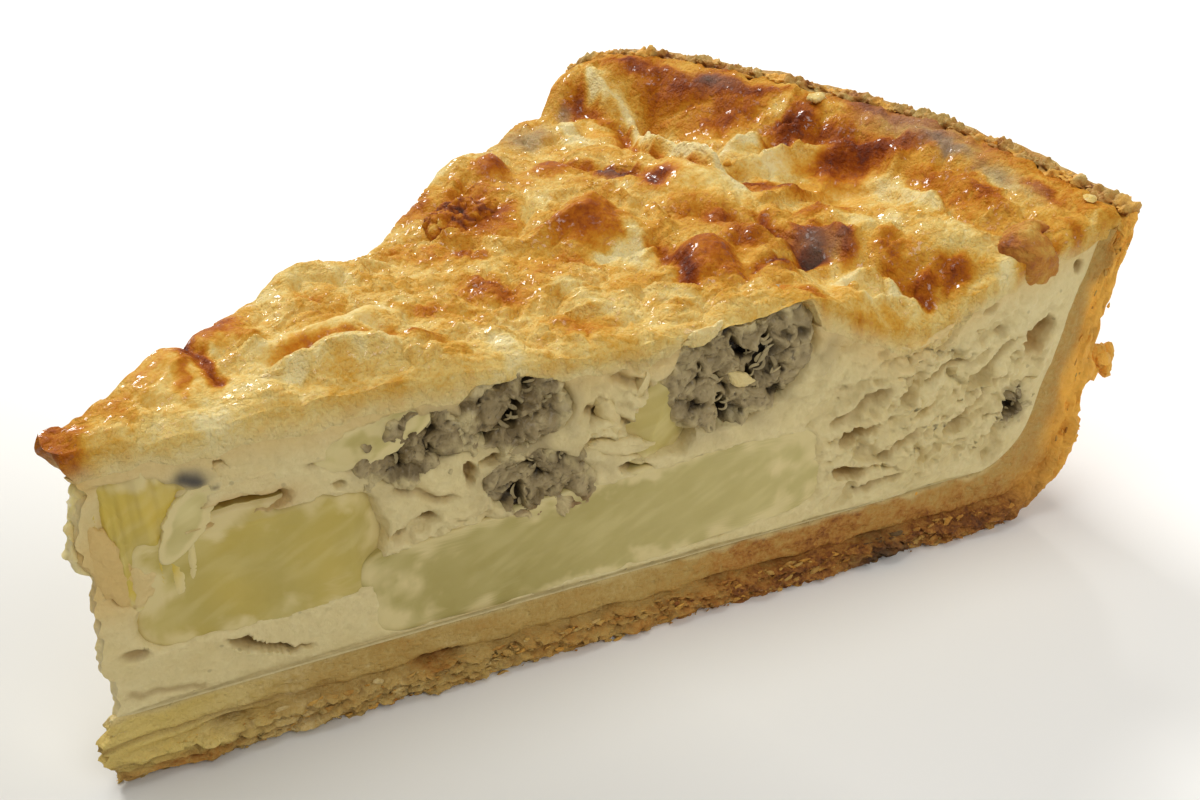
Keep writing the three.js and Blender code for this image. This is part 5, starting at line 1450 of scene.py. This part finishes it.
def makePastryFlakes():
    # angular crumbs and shards that stand out of the brown layer at both cuts, along the rim and the cut wall,
    # and a clump of bigger ones on the outside of the wall
    draw = np.random.default_rng(7)
    parts = []

    def add(centre, longAxis, face, long, wide, thick, bake, burnt=0.0, amber=0.0):
        loops = flakeLoops(centre, longAxis, np.cross(face, longAxis), face, long, wide, thick, 300 + len(parts),
                           draw.uniform(-0.15, 0.15))
        loops[..., 2] = np.maximum(loops[..., 2], 0.02)
        # flakes near the tip get the yellow painted glow
        parts.append((loops, {"bake": bake, "cavity": 0.0, "burnt": burnt, "amber": amber,
                              "butter": 0.5 * float(centre[0] < 8), "smear": 0.0}))

    for side in (-1, 1):
        for i in range(pastryFlakes["baseCount"]):
            s, z = draw.uniform(-1.5, 112), 0.15 + 3.5 * draw.uniform()
            size = 0.15 + 0.75 * draw.uniform() ** 3
            face = cutOut[side] + upward * draw.uniform(-0.5, 0.5) + cutAlong[side] * draw.uniform(-0.4, 0.4)
            longAxis = cutAlong[side] + upward * draw.uniform(-0.5, 0.5)
            tone = 0.28 + 0.24 * draw.uniform(-1, 1) + 0.26 * (s > 60)
            add(onCut(side, s, 0.2 - draw.uniform(0.5, 1.25), z), longAxis, face, size, size * draw.uniform(0.3, 0.6),
                0.05 + size * draw.uniform(0.05, 0.2), tone, 0.8 * float(abs(s - 92) < 3.5), draw.uniform(-0.6, 0.4))
    for i in range(pastryFlakes["rimCount"]):
        angle = draw.uniform(-0.99, 0.99) * tart["halfAngle"]
        r = draw.uniform(122.5, 125.2)
        z = tart["rimHeight"] - float(rimDip(np.array(angle))) + draw.uniform(-0.2, 0.6) - 0.4 * abs(r - 122.5)
        out = np.array([np.cos(angle), np.sin(angle), 0])
        around = np.array([-np.sin(angle), np.cos(angle), 0])
        size = draw.uniform(0.2, 0.7)
        add((r * np.cos(angle), r * np.sin(angle), z), around + upward * draw.uniform(-0.5, 0.5),
            upward + out * draw.uniform(-0.8, 0.9), size, size * draw.uniform(0.3, 0.8), size * draw.uniform(0.15, 0.4),
            0.4 + 0.25 * draw.uniform(-1, 1), 0.0, draw.uniform(-0.4, 0.6))
    # the clump of crumbs on the wall's outside gets a strong amber painted glow
    crumbR, crumbZ, crumbSize = pastry["crumb"]
    for i in range(14):
        place = onCut(-1, crumbR + draw.uniform(0.2, 3.2), draw.uniform(0, 2.4), crumbZ + draw.uniform(-1.8, 1.8))
        facing = cutAlong[-1] + 0.8 * cutOut[-1] * draw.uniform(-1, 1) + upward * draw.uniform(-0.8, 0.8)
        size = draw.uniform(0.9, 1.45)
        add(place, upward + cutOut[-1] * draw.uniform(-1, 1), facing, size, size * draw.uniform(0.7, 0.95),
            size * draw.uniform(0.5, 0.8), 0.2 + 0.1 * draw.uniform(-1, 1), 0.0, draw.uniform(0.7, 1.0))
    for side in (-1, 1):
        for i in range(pastryFlakes["wallCount"]):
            z = draw.uniform(6, 40)
            r = float(mix(wallInside(z), np.interp(z, [0, 11, tart["rimHeight"]], [116, 120.5, 125]), draw.uniform(0.5, 0.95)))
            size = draw.uniform(0.15, 0.6)
            add(onCut(side, r, draw.uniform(-0.25, 0.2), z), upward + cutAlong[side] * draw.uniform(-0.1, 0.5),
                cutOut[side] + cutAlong[side] * draw.uniform(-0.6, 0.8), size, size * draw.uniform(0.25, 0.6),
                size * draw.uniform(0.1, 0.3), 0.42 + 0.24 * draw.uniform(-1, 1), 0.0, draw.uniform(0.0, 0.9))
    return finish(makeMesh("pastry_flakes", *joined(parts), pastryMaterial), "pastry")


# Make everything
makeCustard()
makeCheese()
makePastry()
makeRimCrags()
for pieceName, piece in potatoes.items():
    makePotato(pieceName, piece)
for pieceName, piece in mushrooms.items():
    makeMushroom(pieceName, piece)
for pieceName, piece in toppings.items():
    makeTopping(pieceName, piece)
makeCustardFlakes()
makeCheeseFlakes()
makePastryFlakes()
print("pieces made")

# Floor, light and camera
studio = {
    "floorSize": 6.0,
    "cameraAt": (-0.109704, -0.112080, 0.111618),
    "cameraLooks": (0.62837, 0.58961, -0.50746),
    "lens": 43.83,
    "worldLight": 0.3,
    # lamps: name, place, size, power, colour
    "lamps": [
        ("windowBehind", (0.22, 0.80, 0.60), 0.34, 7.0, (1.0, 0.985, 0.96)),
        ("windowRight", (0.70, 0.50, 0.44), 0.10, 0.9, (1.0, 0.99, 0.97)),
        ("softAbove", (-0.05, 0.10, 0.95), 0.6, 3.1, (1.0, 0.985, 0.95)),
        ("fillFront", (-0.12, -0.70, 0.66), 0.5, 2.5, (1.0, 0.985, 0.94)),
    ],
}


def makeStudio():
    half = studio["floorSize"] / 2
    mesh = bpy.data.meshes.new("floor")
    mesh.from_pydata([(-half, -half, 0), (half, -half, 0), (half, half, 0), (-half, half, 0)], [], [(0, 1, 2, 3)])
    floor = bpy.data.objects.new("floor", mesh)
    bpy.context.scene.collection.objects.link(floor)
    material, tree, shader = newMaterial("floorWhite", specular=0.12)
    # painted shade: the floor is a little greyer in front of the slice's tip
    place = put(tree, "ShaderNodeSeparateXYZ", {0: put(tree, "ShaderNodeTexCoord").outputs["Object"]}).outputs
    tree.links.new(blend(tree, stretch(tree, place[0], -0.085, -0.01), (0.56, 0.555, 0.525, 1), (0.96, 0.955, 0.94, 1)),
                   shader.inputs["Base Color"])
    shader.inputs["Roughness"].default_value = 0.7
    mesh.materials.append(material)
    world = bpy.data.worlds.new("studioWorld")
    world.use_nodes = True
    world.node_tree.nodes["Background"].inputs["Color"].default_value = (1.0, 0.995, 0.98, 1)
    world.node_tree.nodes["Background"].inputs["Strength"].default_value = studio["worldLight"]
    bpy.context.scene.world = world
    for name, place, size, power, colour in studio["lamps"]:
        lamp = bpy.data.lights.new(name, "AREA")
        lamp.shape = "DISK"
        lamp.size = size
        lamp.energy = power
        lamp.color = colour
        holder = bpy.data.objects.new(name, lamp)
        holder.location = place
        holder.rotation_euler = (-Vector(place) + Vector((0, 0, 0.03))).to_track_quat("-Z", "Y").to_euler()
        bpy.context.scene.collection.objects.link(holder)
    camera = bpy.data.cameras.new("camera")
    camera.lens = studio["lens"]
    camera.sensor_width = 36.0
    camera.clip_start = 0.005
    holder = bpy.data.objects.new("camera", camera)
    holder.location = studio["cameraAt"]
    holder.rotation_euler = Vector(studio["cameraLooks"]).to_track_quat("-Z", "Y").to_euler()
    bpy.context.scene.collection.objects.link(holder)
    bpy.context.scene.camera = holder
    bpy.context.scene.view_settings.view_transform = "Standard"
    bpy.context.scene.view_settings.look = "None"


makeStudio()
print("studio made")
